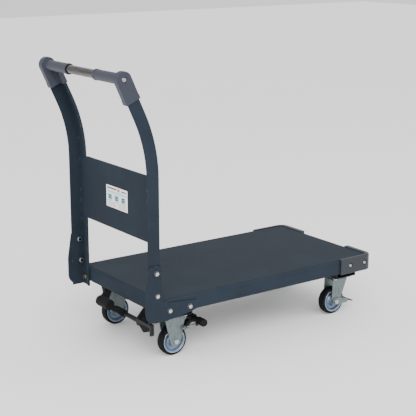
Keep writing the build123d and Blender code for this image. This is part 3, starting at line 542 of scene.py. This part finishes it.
def baked(mesh, name, *modifiers):
    """The mesh after these modifiers, each given as (kind, settings)."""
    carrier = bpy.data.objects.new(name, mesh)
    bpy.context.scene.collection.objects.link(carrier)
    for kind, settings in modifiers:
        modifier = carrier.modifiers.new(kind, kind)
        for key, value in settings.items():
            setattr(modifier, key, value)
    graph = bpy.context.evaluated_depsgraph_get()
    result = bpy.data.meshes.new_from_object(
        carrier.evaluated_get(graph), preserve_all_data_layers=True, depsgraph=graph
    )
    bpy.data.objects.remove(carrier)
    bpy.data.meshes.remove(mesh)
    return result


def place_piece(name, mesh, body, finish, slot=None, nodes=()):
    """Puts a finished mesh in the scene as a piece that rides on a body."""
    mesh.name = name
    piece = bpy.data.objects.new(name, mesh)
    bpy.context.scene.collection.objects.link(piece)
    mesh.materials.clear()
    mesh.materials.append(finish_of(finish))
    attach(piece, body)
    if nodes:
        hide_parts(*nodes)
    slot or finish
    return piece


def softened(form, name, edge):
    """Rounds the sharp edges, marks them for wear, and shades the piece smooth."""
    rounded = form.faces.layers.float.new("edge")
    strip = 1
    bmesh.ops.dissolve_limit(form, angle_limit=FLAT_ANGLE, verts=form.verts, edges=form.edges)
    sharp = [line for line in form.edges if line.is_manifold and line.calc_face_angle(0.0) > SHARP_ANGLE]
    bmesh.ops.bevel(form, geom=sharp, offset=edge, segments=2, profile=0.5, affect="EDGES",
                    material=strip, clamp_overlap=False)
    for face in form.faces:
        face[rounded] = float(face.material_index == strip)
        face.material_index = 0
    shade(form)
    mesh = to_mesh(form, name)
    return baked(mesh, name, ("WEIGHTED_NORMAL", {"keep_sharp": True, "weight": 80}))


def moulded(form, name, grid, rounds):
    """The form as one moulding with soft corners, made on a fine grid and smoothed."""
    return baked(
        to_mesh(form, name), name,
        ("REMESH", {"mode": "VOXEL", "voxel_size": grid, "use_smooth_shade": True}),
        ("SMOOTH", {"factor": 0.5, "iterations": rounds}),
    )


def refine(node, edge):
    """A softly edged copy of a CAD node that stands for it."""
    mesh = softened(merged(node), node, edge)
    slot = node_slot[node]
    return place_piece(node + "_made", mesh, node_body[node], slot, nodes=[node])


def refine_all(nodes, edge):
    """Softly edged copies of several CAD nodes."""
    for node in nodes:
        refine(node, edge)


def turned(sections, x, z, steps):
    """A closed ring turned about a line along Y, from (radius, y) points of its section."""
    form = bmesh.new()
    rings = []
    for step in range(steps):
        angle = 2 * math.pi * step / steps
        across = Vector((math.cos(angle), 0, math.sin(angle)))
        rings.append([form.verts.new(Vector((x, y, z)) + across * radius) for radius, y in sections])
    count = len(sections)
    for step, ring in enumerate(rings):
        after = rings[(step + 1) % steps]
        for i in range(count):
            j = (i + 1) % count
            form.faces.new((ring[i], ring[j], after[j], after[i]))
    bmesh.ops.recalc_face_normals(form, faces=form.faces)
    shade(form)
    return form


def add_box(form, low, high, place=Matrix.Identity(4)):
    """Adds a box between two corners to a bmesh."""
    low, high = Vector(low), Vector(high)
    size = Matrix.Diagonal((*(high - low), 1.0))
    return bmesh.ops.create_cube(form, size=1.0, matrix=place @ Matrix.Translation((low + high) / 2) @ size)


def grown(tree, name, inputs, finish, points=((Vector(), Vector((0, 0, 1))),)):
    """The plain mesh that a Geometry Nodes tree makes at these (place, axis) points."""
    seeds = bpy.data.meshes.new(name)
    seeds.from_pydata([place for place, _ in points], [], [])
    axis = seeds.attributes.new("axis", "FLOAT_VECTOR", "POINT")
    axis.data.foreach_set("vector", [value for _, way in points for value in way])
    carrier = bpy.data.objects.new(name, seeds)
    bpy.context.scene.collection.objects.link(carrier)
    modifier = carrier.modifiers.new("Pattern", "NODES")
    modifier.node_group = tree
    values = dict(inputs, Material=finish_of(finish))
    for socket in tree.interface.items_tree:
        if socket.in_out == "INPUT" and socket.name in values:
            modifier[socket.identifier] = values[socket.name]
    graph = bpy.context.evaluated_depsgraph_get()
    mesh = bpy.data.meshes.new_from_object(carrier.evaluated_get(graph), depsgraph=graph)
    if not mesh.polygons:
        raise RuntimeError("the pattern " + name + " came out empty")
    bpy.data.objects.remove(carrier)
    bpy.data.meshes.remove(seeds)
    return mesh


# ---- Patterns ----
NUMBER = "NodeSocketFloat"
WHOLE = "NodeSocketInt"
ARROW = "NodeSocketVector"


def bolt_pattern():
    """Flanged hexagon bolts with their nuts: Z runs out of the head, whose end is on the point."""
    names = ("Head Radius", "Head Height", "Flange Height", "Chamfer", "Shank Radius", "Length",
             "Nut Radius", "Nut Height")
    tree = Pattern("flanged_bolts", {name: NUMBER for name in names})
    head, tall, flange, chamfer, shank, run, nut, nut_tall = [tree.given(name) for name in names]
    hexagon = head * 0.70
    # Painted shade: the hexagon's sides and the whole flange are marked to be darkened, as a shadow ring
    # round the head.
    wall = tree.with_painted_shade(tree.cylinder(6, hexagon, tall - chamfer), "Side")
    body = tree.moved(wall, z=(tall - chamfer) * -0.5 - chamfer)
    crown = tree.moved(tree.cone(6, hexagon, hexagon - chamfer, chamfer), z=-chamfer)
    skirt = tree.moved(tree.with_painted_shade(tree.cone(40, head, head * 0.90, flange)), z=-tall)
    pin = tree.moved(tree.cylinder(24, shank, run - tall), z=(run + tall) * -0.5)
    ring = tree.moved(tree.cylinder(6, nut, nut_tall - chamfer), z=(nut_tall + chamfer) * 0.5 - run)
    ring_crown = tree.moved(tree.cone(6, nut - chamfer, nut, chamfer), z=-run)
    return tree.finish(tree.at_points(tree.join(body, crown, skirt, pin, ring, ring_crown)))


def screw_pattern():
    """Pan-head screws with a cross recess; the head's top is on the point."""
    names = ("Head Radius", "Head Height", "Shank Radius", "Length", "Slot Width")
    tree = Pattern("cross_screws", {name: NUMBER for name in names})
    head, tall, shank, run, slot = [tree.given(name) for name in names]
    # Painted shade: the sides of the head and the faces of the cross recess are marked to be darkened,
    # leaving the top bright.
    base = tree.moved(tree.with_painted_shade(tree.cylinder(40, head, tall * 0.5), "Side"), z=tall * -0.75)
    crown = tree.moved(tree.with_painted_shade(tree.cone(40, head, head * 0.72, tall * 0.5), "Side"), z=tall * -0.5)
    pin = tree.moved(tree.cylinder(20, shank, run - tall), z=(run + tall) * -0.5)
    cross = []
    for x_share, y_share in ((1.0, 0.0), (0.0, 1.0)):
        size = tree.node("ShaderNodeCombineXYZ", sockets={
            0: head * x_share + slot * y_share, 1: head * y_share + slot * x_share, 2: tall})
        cross.append(tree.with_painted_shade(tree.node("GeometryNodeMeshCube", sockets={"Size": size})))
    cut = {"operation": "DIFFERENCE", "solver": "EXACT"}
    top = tree.node("GeometryNodeMeshBoolean", cut, {"Mesh 1": crown, "Mesh 2": cross})
    return tree.finish(tree.at_points(tree.join(base, top, pin)))


def dome_pattern():
    """Low domes, round or long, such as rivet heads and pressed ribs, with their lower half sunk in."""
    names = ("Radius", "Height", "Stretch")
    tree = Pattern("domes", {name: NUMBER for name in names})
    radius, tall, stretch = [tree.given(name) for name in names]
    ball = tree.node("GeometryNodeMeshUVSphere", sockets={"Segments": 24, "Rings": 12, "Radius": radius})
    scale = tree.node("ShaderNodeCombineXYZ", sockets={0: 1.0, 1: stretch, 2: tall / radius})
    flat = tree.node("GeometryNodeTransform", sockets={"Geometry": ball, "Scale": scale})
    smooth = tree.node("GeometryNodeSetShadeSmooth", sockets={"Geometry": flat})
    return tree.finish(tree.at_points(smooth))


def coil_pattern():
    """A coil spring along each point's axis, starting at the point."""
    tree = Pattern("coils", {"Turns": NUMBER, "Radius": NUMBER, "Height": NUMBER, "Wire": NUMBER})
    sockets = {"Resolution": 28, "Rotations": tree.given("Turns"), "Start Radius": tree.given("Radius"),
               "End Radius": tree.given("Radius"), "Height": tree.given("Height")}
    line = tree.node("GeometryNodeCurveSpiral", sockets=sockets)
    round_wire = {"Resolution": 10, "Radius": tree.given("Wire")}
    section = tree.node("GeometryNodeCurvePrimitiveCircle", sockets=round_wire)
    ends = {"Curve": line, "Profile Curve": section, "Fill Caps": True}
    coil = tree.node("GeometryNodeCurveToMesh", sockets=ends)
    smooth = tree.node("GeometryNodeSetShadeSmooth", sockets={"Geometry": coil})
    return tree.finish(tree.at_points(smooth))


def ring_pattern():
    """Rounded ribs round a sleeve, one after another along each point's axis."""
    tree = Pattern("sleeve_ribs", {"Count": WHOLE, "Pitch": NUMBER, "Radius": NUMBER, "Bead": NUMBER})
    step = tree.node("ShaderNodeCombineXYZ", sockets={2: tree.given("Pitch")})
    row = tree.node("GeometryNodeMeshLine", sockets={"Count": tree.given("Count"), "Offset": step})
    path = tree.node("GeometryNodeCurvePrimitiveCircle",
                     sockets={"Resolution": 48, "Radius": tree.given("Radius")})
    bead = tree.node("GeometryNodeCurvePrimitiveCircle",
                     sockets={"Resolution": 10, "Radius": tree.given("Bead")})
    ring = tree.node("GeometryNodeCurveToMesh", sockets={"Curve": path, "Profile Curve": bead})
    smooth = tree.node("GeometryNodeSetShadeSmooth", sockets={"Geometry": ring})
    ribs = tree.node("GeometryNodeInstanceOnPoints", sockets={"Points": row, "Instance": smooth})
    return tree.finish(tree.at_points(ribs))


def bar_pattern():
    """Small raised bars, such as treads and printed rows, stacked along each point's axis."""
    tree = Pattern("bars", {"Count": WHOLE, "Pitch": NUMBER, "Bar": ARROW})
    step = tree.node("ShaderNodeCombineXYZ", sockets={2: tree.given("Pitch")})
    row = tree.node("GeometryNodeMeshLine", sockets={"Count": tree.given("Count"), "Offset": step})
    bar = tree.node("GeometryNodeMeshCube", sockets={"Size": tree.given("Bar")})
    bars = tree.node("GeometryNodeInstanceOnPoints", sockets={"Points": row, "Instance": bar})
    return tree.finish(tree.at_points(bars))


PATTERNS = {
    "flanged_bolts": bolt_pattern,
    "cross_screws": screw_pattern,
    "domes": dome_pattern,
    "coils": coil_pattern,
    "sleeve_ribs": ring_pattern,
    "bars": bar_pattern,
}


def pattern(name):
    """The pattern of this name, made the first time it is asked for."""
    return bpy.data.node_groups.get(name) or PATTERNS[name]()


# ---- Operators ----
class PieceOperator:
    """What the operators share."""

    bl_options = {"REGISTER"}

    def execute(self, context):
        self.make(context.scene.cart_sizes)
        return {"FINISHED"}


class CART_OT_deck(PieceOperator, bpy.types.Operator):
    """Make the tray deck with its rolled edge"""

    bl_idname = "cart.deck"
    bl_label = "Deck"

    def make(self, sizes):
        refine("deck_shell", sizes.sheet_edge)
        low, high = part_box("deck_shell")
        form = bmesh.new()
        fold = high.z - sizes.rim_fold
        below, above = fold - FOLD_HALF, fold + FOLD_HALF
        inwards = Vector((FOLD_SETBACK, FOLD_SETBACK, 0))
        near, far = low + inwards, high - inwards
        for y in (low.y, high.y):
            add_box(form, (near.x, y - FOLD_PROUD, below), (far.x, y + FOLD_PROUD, above))
        for x in (low.x, high.x):
            add_box(form, (x - FOLD_PROUD, near.y, below), (x + FOLD_PROUD, far.y, above))
        place_piece("deck_fold_line", to_mesh(form, "fold"), "platform", "slate_paint")


class CART_OT_underframe(PieceOperator, bpy.types.Operator):
    """Make the members, hangers and bolts under the deck"""

    bl_idname = "cart.underframe"
    bl_label = "Underframe"

    def make(self, sizes):
        nodes = ("front_crossmember", "rear_crossmember", "deck_ribs", "pedal_hangers", "brake_hangers",
                 "caster_bolts", "swivel_plates", "kingpins")
        refine_all(nodes, sizes.sheet_edge)


class CART_OT_forks(PieceOperator, bpy.types.Operator):
    """Make the caster forks with their pressed dots and ribs, and the axle bolts"""

    bl_idname = "cart.forks"
    bl_label = "Caster forks"

    def make(self, sizes):
        dots = {"Radius": sizes.dimple_radius, "Height": DOT_HEIGHT, "Stretch": 1.0}
        for hand in HANDS:
            for end in ("rear", "front"):
                node = f"{end}_fork_{hand}"
                refine(node, sizes.sheet_edge)
                low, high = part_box(node)
                body = node_body[node]
                axle = middle(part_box(f"tyre_{end}_{hand}"))
                points = []
                for way in (RIGHT, LEFT):
                    for dx in (-DOT_SPREAD, DOT_SPREAD):
                        place = Vector((axle.x + dx, axle.y + way * FORK_FACE, axle.z + DOT_RISE))
                        points.append((place, Vector((0, way, 0))))
                mesh = grown(pattern("domes"), "dots", dots, "zinc_plate", points)
                place_piece(f"{node}_dots", mesh, body, "zinc_plate")
                if end == "rear":
                    self.ribs(sizes, node, body, axle)
        refine("rear_axle_bolts", sizes.sheet_edge)
        refine_all([f"front_axle_bolt_{hand}" for hand in HANDS], sizes.sheet_edge)

    def ribs(self, sizes, node, body, axle):
        """Two upright pressed ribs on each leg of a fixed fork."""
        stretch = sizes.rib_reach / 2 / RIB_RADIUS
        values = {"Radius": RIB_RADIUS, "Height": RIB_HEIGHT, "Stretch": stretch}
        points = []
        for side in (RIGHT, LEFT):
            for dx in (-RIB_SPREAD, RIB_SPREAD):
                place = Vector((axle.x + dx, axle.y + side * FORK_FACE, axle.z + RIB_RISE))
                points.append((place, Vector((0, side, 0))))
        mesh = grown(pattern("domes"), "ribs", values, "zinc_plate", points)
        place_piece(f"{node}_ribs", mesh, body, "zinc_plate")


class CART_OT_stoppers(PieceOperator, bpy.types.Operator):
    """Make the stopper levers and their foot plates"""

    bl_idname = "cart.stoppers"
    bl_label = "Wheel stoppers"

    def make(self, sizes):
        for hand in HANDS:
            refine_all([f"stopper_lever_{hand}", f"stopper_pedal_{hand}"], sizes.sheet_edge)


class CART_OT_wheels(PieceOperator, bpy.types.Operator):
    """Make the tyres, pressed rims and bearings"""

    bl_idname = "cart.wheels"
    bl_label = "Wheels"

    def make(self, sizes):
        for end in ("rear", "front"):
            for hand in HANDS:
                self.wheel(sizes, f"{end}_{hand}")

    def wheel(self, sizes, name):
        low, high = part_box("tyre_" + name)
        centre = middle((low, high))
        radius, half = (high.z - low.z) / 2, (high.y - low.y) / 2
        body = "wheel_" + name
        inner = radius - TYRE_SEAT
        outline = [(inner, half - 0.4 * MM), (radius - sizes.shoulder - 1.2 * MM, half)]
        for step in range(7):
            turn = math.pi / 2 * step / 6
            across = half - sizes.shoulder * (1 - math.cos(turn)) - 0.3 * MM
            outline.append((radius - sizes.tread_crown - sizes.shoulder * (1 - math.sin(turn)), across))
        tread = radius - SEAM_DEPTH
        outline += [(tread, half * 0.3), (tread, SEAM_HALF), (radius, SEAM_CREST)]
        outline = [(reach, y) for reach, y in outline] + [(reach, -y) for reach, y in reversed(outline)]
        section = [(reach, centre.y + y) for reach, y in outline]
        section.append((radius - TYRE_ROOT, centre.y - half + ROOT_INSET))
        section.append((radius - TYRE_ROOT, centre.y + half - ROOT_INSET))
        form = turned(section, centre.x, centre.z, sizes.wheel_steps)
        place_piece(f"tyre_{name}_made", to_mesh(form, "tyre"), body, "tyre_rubber", nodes=["tyre_" + name])
        hub = [(11.2, 15.0), (13.6, 15.0), (14.4, 14.2), (15.2, 9.2), (17.0, 7.0)]
        dish = [(20.5, 3.4), (24.0, 3.0), (30.0, 4.6), (33.2, 7.4), (34.6, 13.2)]
        lip = [(36.0, 14.6), (39.6, 15.2), (41.0, 14.8), (41.0, 13.4), (38.2, 12.6)]
        side = hub + dish + lip
        section = [(reach * MM, centre.y + y * MM) for reach, y in side]
        section += [(reach * MM, centre.y - y * MM) for reach, y in reversed(side)]
        form = turned(section, centre.x, centre.z, sizes.wheel_steps)
        mesh = to_mesh(form, "rim")
        place_piece(f"wheel_rim_{name}_made", mesh, body, "rim_steel", nodes=["wheel_rim_" + name])
        # Painted highlight: the rolled bead at the rim's lip takes the lighter bright zinc, as a bright ring
        # round the darker blue rim.
        values = {"Count": 1, "Pitch": 0.0, "Radius": BEAD_RADIUS, "Bead": sizes.lip_bead / 2}
        ways = [Vector((0, way, 0)) for way in (RIGHT, LEFT)]
        points = [(centre + way * BEAD_OFFSET, way) for way in ways]
        mesh = grown(pattern("sleeve_ribs"), "bead", values, "bright_zinc", points)
        place_piece(f"rim_highlight_bead_{name}", mesh, body, "bright_zinc")
        refine("wheel_bearing_" + name, sizes.sheet_edge)


class CART_OT_brackets(PieceOperator, bpy.types.Operator):
    """Make the foot brackets and the bolts through them and through the posts"""

    bl_idname = "cart.brackets"
    bl_label = "Foot brackets and bolts"

    def make(self, sizes):
        refine_all([f"foot_bracket_{hand}" for hand in HANDS], sizes.sheet_edge)
        for node in ("bracket_bolts", "pivot_bolts", "stop_bolts"):
            bolts = bolts_of(node)
            shank = RIM_SHANK if node == "bracket_bolts" else POST_SHANK
            values = {
                "Head Radius": BOLT_HEAD, "Head Height": BOLT_HEIGHT, "Flange Height": sizes.bolt_flange,
                "Chamfer": sizes.bolt_chamfer, "Shank Radius": shank, "Length": bolts[0][2],
                "Nut Radius": shank * 1.8, "Nut Height": BOLT_HEIGHT,
            }
            points = [(place, way) for place, way, _ in bolts]
            mesh = grown(pattern("flanged_bolts"), node, values, "bright_zinc", points)
            place_piece(node + "_made", mesh, node_body[node], "bright_zinc", nodes=[node])


class CART_OT_posts(PieceOperator, bpy.types.Operator):
    """Make the two bent posts and the pads at their feet"""

    bl_idname = "cart.posts"
    bl_label = "Posts"

    def make(self, sizes):
        refine_all([f"post_{hand}" for hand in HANDS] + ["stop_pads"], sizes.sheet_edge)


class CART_OT_push_bar(PieceOperator, bpy.types.Operator):
    """Make the push bar, its screws and the elbow covers"""

    bl_idname = "cart.push_bar"
    bl_label = "Push bar and elbow covers"

    def make(self, sizes):
        low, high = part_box("handle_tube")
        axis = middle((low, high))
        radius = (high.z - low.z) / 2
        bore = radius - BAR_WALL
        section = [(bore, low.y), (radius, low.y), (radius, high.y), (bore, high.y)]
        form = turned(section, axis.x, axis.z, 80)
        mesh = softened(form, "bar", BAR_EDGE)
        place_piece("handle_tube_made", mesh, "handle", "chrome_tube", nodes=["handle_tube"])
        bolts = bolts_of("handle_bolts")
        values = {"Head Radius": 8 * MM, "Head Height": 3 * MM, "Shank Radius": 4 * MM,
                  "Length": bolts[0][2], "Slot Width": 2.4 * MM}
        points = [(place, way) for place, way, _ in bolts]
        mesh = grown(pattern("cross_screws"), "bar_screws", values, "bright_zinc", points)
        place_piece("handle_bolts_made", mesh, "handle", "bright_zinc", nodes=["handle_bolts"])
        for hand, side in HANDS.items():
            self.cover(sizes, hand, side, axis)

    def cover(self, sizes, hand, side, axis):
        node = "elbow_cover_" + hand
        low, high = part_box(node)
        form = merged(node)
        lean = Matrix.Translation((axis.x, 0, axis.z)) @ Matrix.Rotation(-sizes.lean, 4, "Y")
        far = max(abs(low.y), abs(high.y))
        near = far - BAND_DEPTH
        half = BAND_HALF + sizes.cover_band
        ys = sorted((side * (near - sizes.cover_band), side * (far + sizes.cover_band)))
        foot = -sizes.cover_leg
        add_box(form, (-half, ys[0], foot), (half, ys[1], foot + sizes.cover_band_height), lean)
        mesh = moulded(form, node, sizes.cover_grid, COVER_ROUNDS)
        place_piece(node + "_made", mesh, "handle", "grey_plastic", nodes=[node])


class CART_OT_panel(PieceOperator, bpy.types.Operator):
    """Make the back panel, its rivets and its printed label"""

    bl_idname = "cart.panel"
    bl_label = "Panel and label"

    def make(self, sizes):
        refine("back_panel", sizes.sheet_edge)
        points = []
        for box in solids_of("panel_rivets"):
            centre = middle(box)
            points.append((Vector((box[0].x + RIVET_HEIGHT, centre.y, centre.z)), Vector((-1, 0, 0))))
        values = {"Radius": RIVET_RADIUS, "Height": RIVET_HEIGHT, "Stretch": 1.0}
        mesh = grown(pattern("domes"), "rivets", values, "slate_paint", points)
        place_piece("panel_rivets_made", mesh, "handle", "slate_paint", nodes=["panel_rivets"])
        refine("label_plate", LABEL_EDGE)
        self.print_label()

    def print_label(self):
        low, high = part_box("label_plate")
        face = low.x
        wide, tall = high.y - low.y, high.z - low.z

        def bars(name, finish, left, bottom, width, height, count=1, pitch=0.0, columns=1, gap=0.0):
            """Printed bars, in shares of the label's width and height, in rows and columns."""
            points = []
            for column in range(columns):
                across = left + column * gap + width / 2
                place = Vector((face, high.y - across * wide, low.z + (bottom + height / 2) * tall))
                points.append((place, Vector((0, 0, 1))))
            size = Vector((INK, width * wide, height * tall))
            values = {"Count": count, "Pitch": pitch * tall, "Bar": size}
            mesh = grown(pattern("bars"), name, values, finish, points)
            place_piece("label_" + name, mesh, "handle", finish, slot="label_film")

        bars("header", "dark_ink", 0.05, 0.85, 0.44, 0.07)
        bars("spot", "red_ink", 0.53, 0.81, 0.11, 0.13)
        bars("corner", "dark_ink", 0.72, 0.84, 0.22, 0.06)
        bars("row", "blue_ink", 0.05, 0.66, 0.90, 0.11)
        bars("frames", "blue_ink", 0.07, 0.36, 0.22, 0.25, columns=3, gap=0.31)
        bars("pictures", "dark_ink", 0.11, 0.38, 0.14, 0.05, count=3, pitch=0.075, columns=3, gap=0.31)
        bars("captions", "grey_ink", 0.07, 0.29, 0.22, 0.04, columns=3, gap=0.31)
        bars("lines", "grey_ink", 0.06, 0.06, 0.40, 0.022, count=4, pitch=0.056, columns=2, gap=0.48)


class CART_OT_bumpers(PieceOperator, bpy.types.Operator):
    """Make the corner bumpers and their screws"""

    bl_idname = "cart.bumpers"
    bl_label = "Corner bumpers"

    def make(self, sizes):
        for hand in HANDS:
            node = "bumper_" + hand
            mesh = moulded(merged(node), node, sizes.bumper_grid, BUMPER_ROUNDS)
            place_piece(node + "_made", mesh, "platform", "bumper_plastic", "grey_plastic", [node])
        screws = bolts_of("bumper_screws")
        values = {"Head Radius": 6.5 * MM, "Head Height": 3.5 * MM, "Shank Radius": 3 * MM,
                  "Length": screws[0][2], "Slot Width": 1.4 * MM}
        points = [(place, way) for place, way, _ in screws]
        mesh = grown(pattern("cross_screws"), "bumper_screws", values, "bright_zinc", points)
        place_piece("bumper_screws_made", mesh, "platform", "bright_zinc", nodes=["bumper_screws"])


class CART_OT_pedal(PieceOperator, bpy.types.Operator):
    """Make the foot pedal, its shaft, dog, sleeve and spring"""

    bl_idname = "cart.pedal"
    bl_label = "Foot pedal"

    def make(self, sizes):
        refine_all(("pedal_shaft", "pedal_plate", "latch_dog"), sizes.sheet_edge)
        sleeve("pedal_grip", sizes, "pedal")
        low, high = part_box("pedal_spring")
        wire = SPRING_WIRE
        values = {"Turns": SPRING_TURNS, "Radius": (high.z - low.z) / 2 - wire,
                  "Height": high.y - low.y - 2 * wire, "Wire": wire}
        centre = middle((low, high))
        start = Vector((centre.x, low.y + wire, centre.z))
        mesh = grown(pattern("coils"), "spring", values, "spring_steel", [(start, Vector((0, 1, 0)))])
        place_piece("pedal_spring_made", mesh, "pedal", "spring_steel", nodes=["pedal_spring"])


class CART_OT_brake(PieceOperator, bpy.types.Operator):
    """Make the brake bar with its shoes, sleeves and return springs"""

    bl_idname = "cart.brake"
    bl_label = "Brake bar"

    def make(self, sizes):
        refine_all(("brake_bar", "brake_shoes", "brake_springs"), sizes.sheet_edge)
        sleeve("brake_grips", sizes, "brake")


def sleeve(node, sizes, body):
    """A rubber sleeve made softly round, with ribs that follow it round."""
    refine(node, SLEEVE_EDGE)
    bead = SLEEVE_BEAD
    points = []
    for low, high in solids_of(node):
        centre = middle((low, high))
        run = high.y - low.y
        count = int((run - SLEEVE_ENDS) / sizes.rib_pitch)
        start = centre.y - (count - 1) * sizes.rib_pitch / 2
        points.append((Vector((centre.x, start, centre.z)), Vector((0, 1, 0))))
    values = {"Count": count, "Pitch": sizes.rib_pitch, "Radius": (high.z - low.z) / 2 - bead, "Bead": bead}
    mesh = grown(pattern("sleeve_ribs"), node + "_ribs", values, "black_rubber", points)
    place_piece(node + "_ribs", mesh, body, "black_rubber")


class CART_OT_stage(bpy.types.Operator):
    """Make the floor, the soft lights and the camera"""

    bl_idname = "cart.stage"
    bl_label = "Stage"

    def execute(self, context):
        form = bmesh.new()
        bmesh.ops.create_grid(form, x_segments=1, y_segments=1, size=14.0)
        floor = bpy.data.objects.new("floor", to_mesh(form, "floor"))
        context.scene.collection.objects.link(floor)
        floor.data.materials.append(finish_of("studio_floor"))
        lamps = (
            ("key_light", (-3.2, -3.6, 2.6), 2.4, 110.0),
            ("fill_light", (-4.4, 1.4, 1.8), 2.4, 45.0),
            ("front_light", (3.4, -2.6, 2.2), 2.4, 50.0),
        )
        aim = Vector((0, 0, 0.4))
        for name, place, size, power in lamps:
            light = bpy.data.lights.new(name, "AREA")
            light.size = size
            light.energy = power
            lamp = bpy.data.objects.new(name, light)
            lamp.location = place
            lamp.rotation_euler = (aim - Vector(place)).to_track_quat("-Z", "Y").to_euler()
            context.scene.collection.objects.link(lamp)
        sun = bpy.data.lights.new("soft_sun", "SUN")
        sun.energy = 2.3
        sun.angle = math.radians(60)
        high_lamp = bpy.data.objects.new("soft_sun", sun)
        high_lamp.rotation_euler = (math.radians(48), math.radians(-22), 0)
        context.scene.collection.objects.link(high_lamp)
        sky = bpy.data.worlds.new("studio")
        sky.use_nodes = True
        sky.node_tree.nodes["Background"].inputs["Color"].default_value = (1.0, 1.0, 1.0, 1.0)
        sky.node_tree.nodes["Background"].inputs["Strength"].default_value = 1.1
        context.scene.world = sky
        lens = bpy.data.cameras.new("camera")
        lens.sensor_width = 36.0
        lens.lens = 93.9
        camera = bpy.data.objects.new("camera", lens)
        deck = middle(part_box("deck_shell"))
        camera.location = (deck.x - 2.224, deck.y - 2.993, 1.343)
        yaw, pitch = 0.951, 0.246
        ahead = Vector((math.cos(yaw) * math.cos(pitch), math.sin(yaw) * math.cos(pitch), -math.sin(pitch)))
        camera.rotation_euler = ahead.to_track_quat("-Z", "Y").to_euler()
        context.scene.collection.objects.link(camera)
        context.scene.camera = camera
        return {"FINISHED"}


OPERATORS = (
    CART_OT_stage, CART_OT_deck, CART_OT_underframe, CART_OT_forks, CART_OT_stoppers, CART_OT_wheels,
    CART_OT_brackets, CART_OT_posts, CART_OT_push_bar, CART_OT_panel, CART_OT_bumpers, CART_OT_pedal,
    CART_OT_brake,
)


class CART_PT_panel(bpy.types.Panel):
    """Lists the cart's pieces, sizes and colours"""

    bl_idname = "CART_PT_panel"
    bl_label = "Platform cart"
    bl_space_type = "VIEW_3D"
    bl_region_type = "UI"
    bl_category = "Cart"

    def draw(self, context):
        for operator in OPERATORS:
            self.layout.operator(operator.bl_idname)
        for group in (context.scene.cart_sizes, context.scene.cart_colours):
            column = self.layout.column()
            for name in group.__annotations__:
                column.prop(group, name)


CLASSES = (CartSizes, CartColours, *OPERATORS, CART_PT_panel)


def register():
    for item in CLASSES:
        bpy.utils.register_class(item)
    bpy.types.Scene.cart_sizes = PointerProperty(type=CartSizes)
    bpy.types.Scene.cart_colours = PointerProperty(type=CartColours)


def unregister():
    del bpy.types.Scene.cart_colours
    del bpy.types.Scene.cart_sizes
    for item in reversed(CLASSES):
        bpy.utils.unregister_class(item)


def main():
    """Registers the add-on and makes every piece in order."""
    register()
    for operator in OPERATORS:
        group, name = operator.bl_idname.split(".")
        getattr(getattr(bpy.ops, group), name)()


if __name__ == "__main__":
    main()
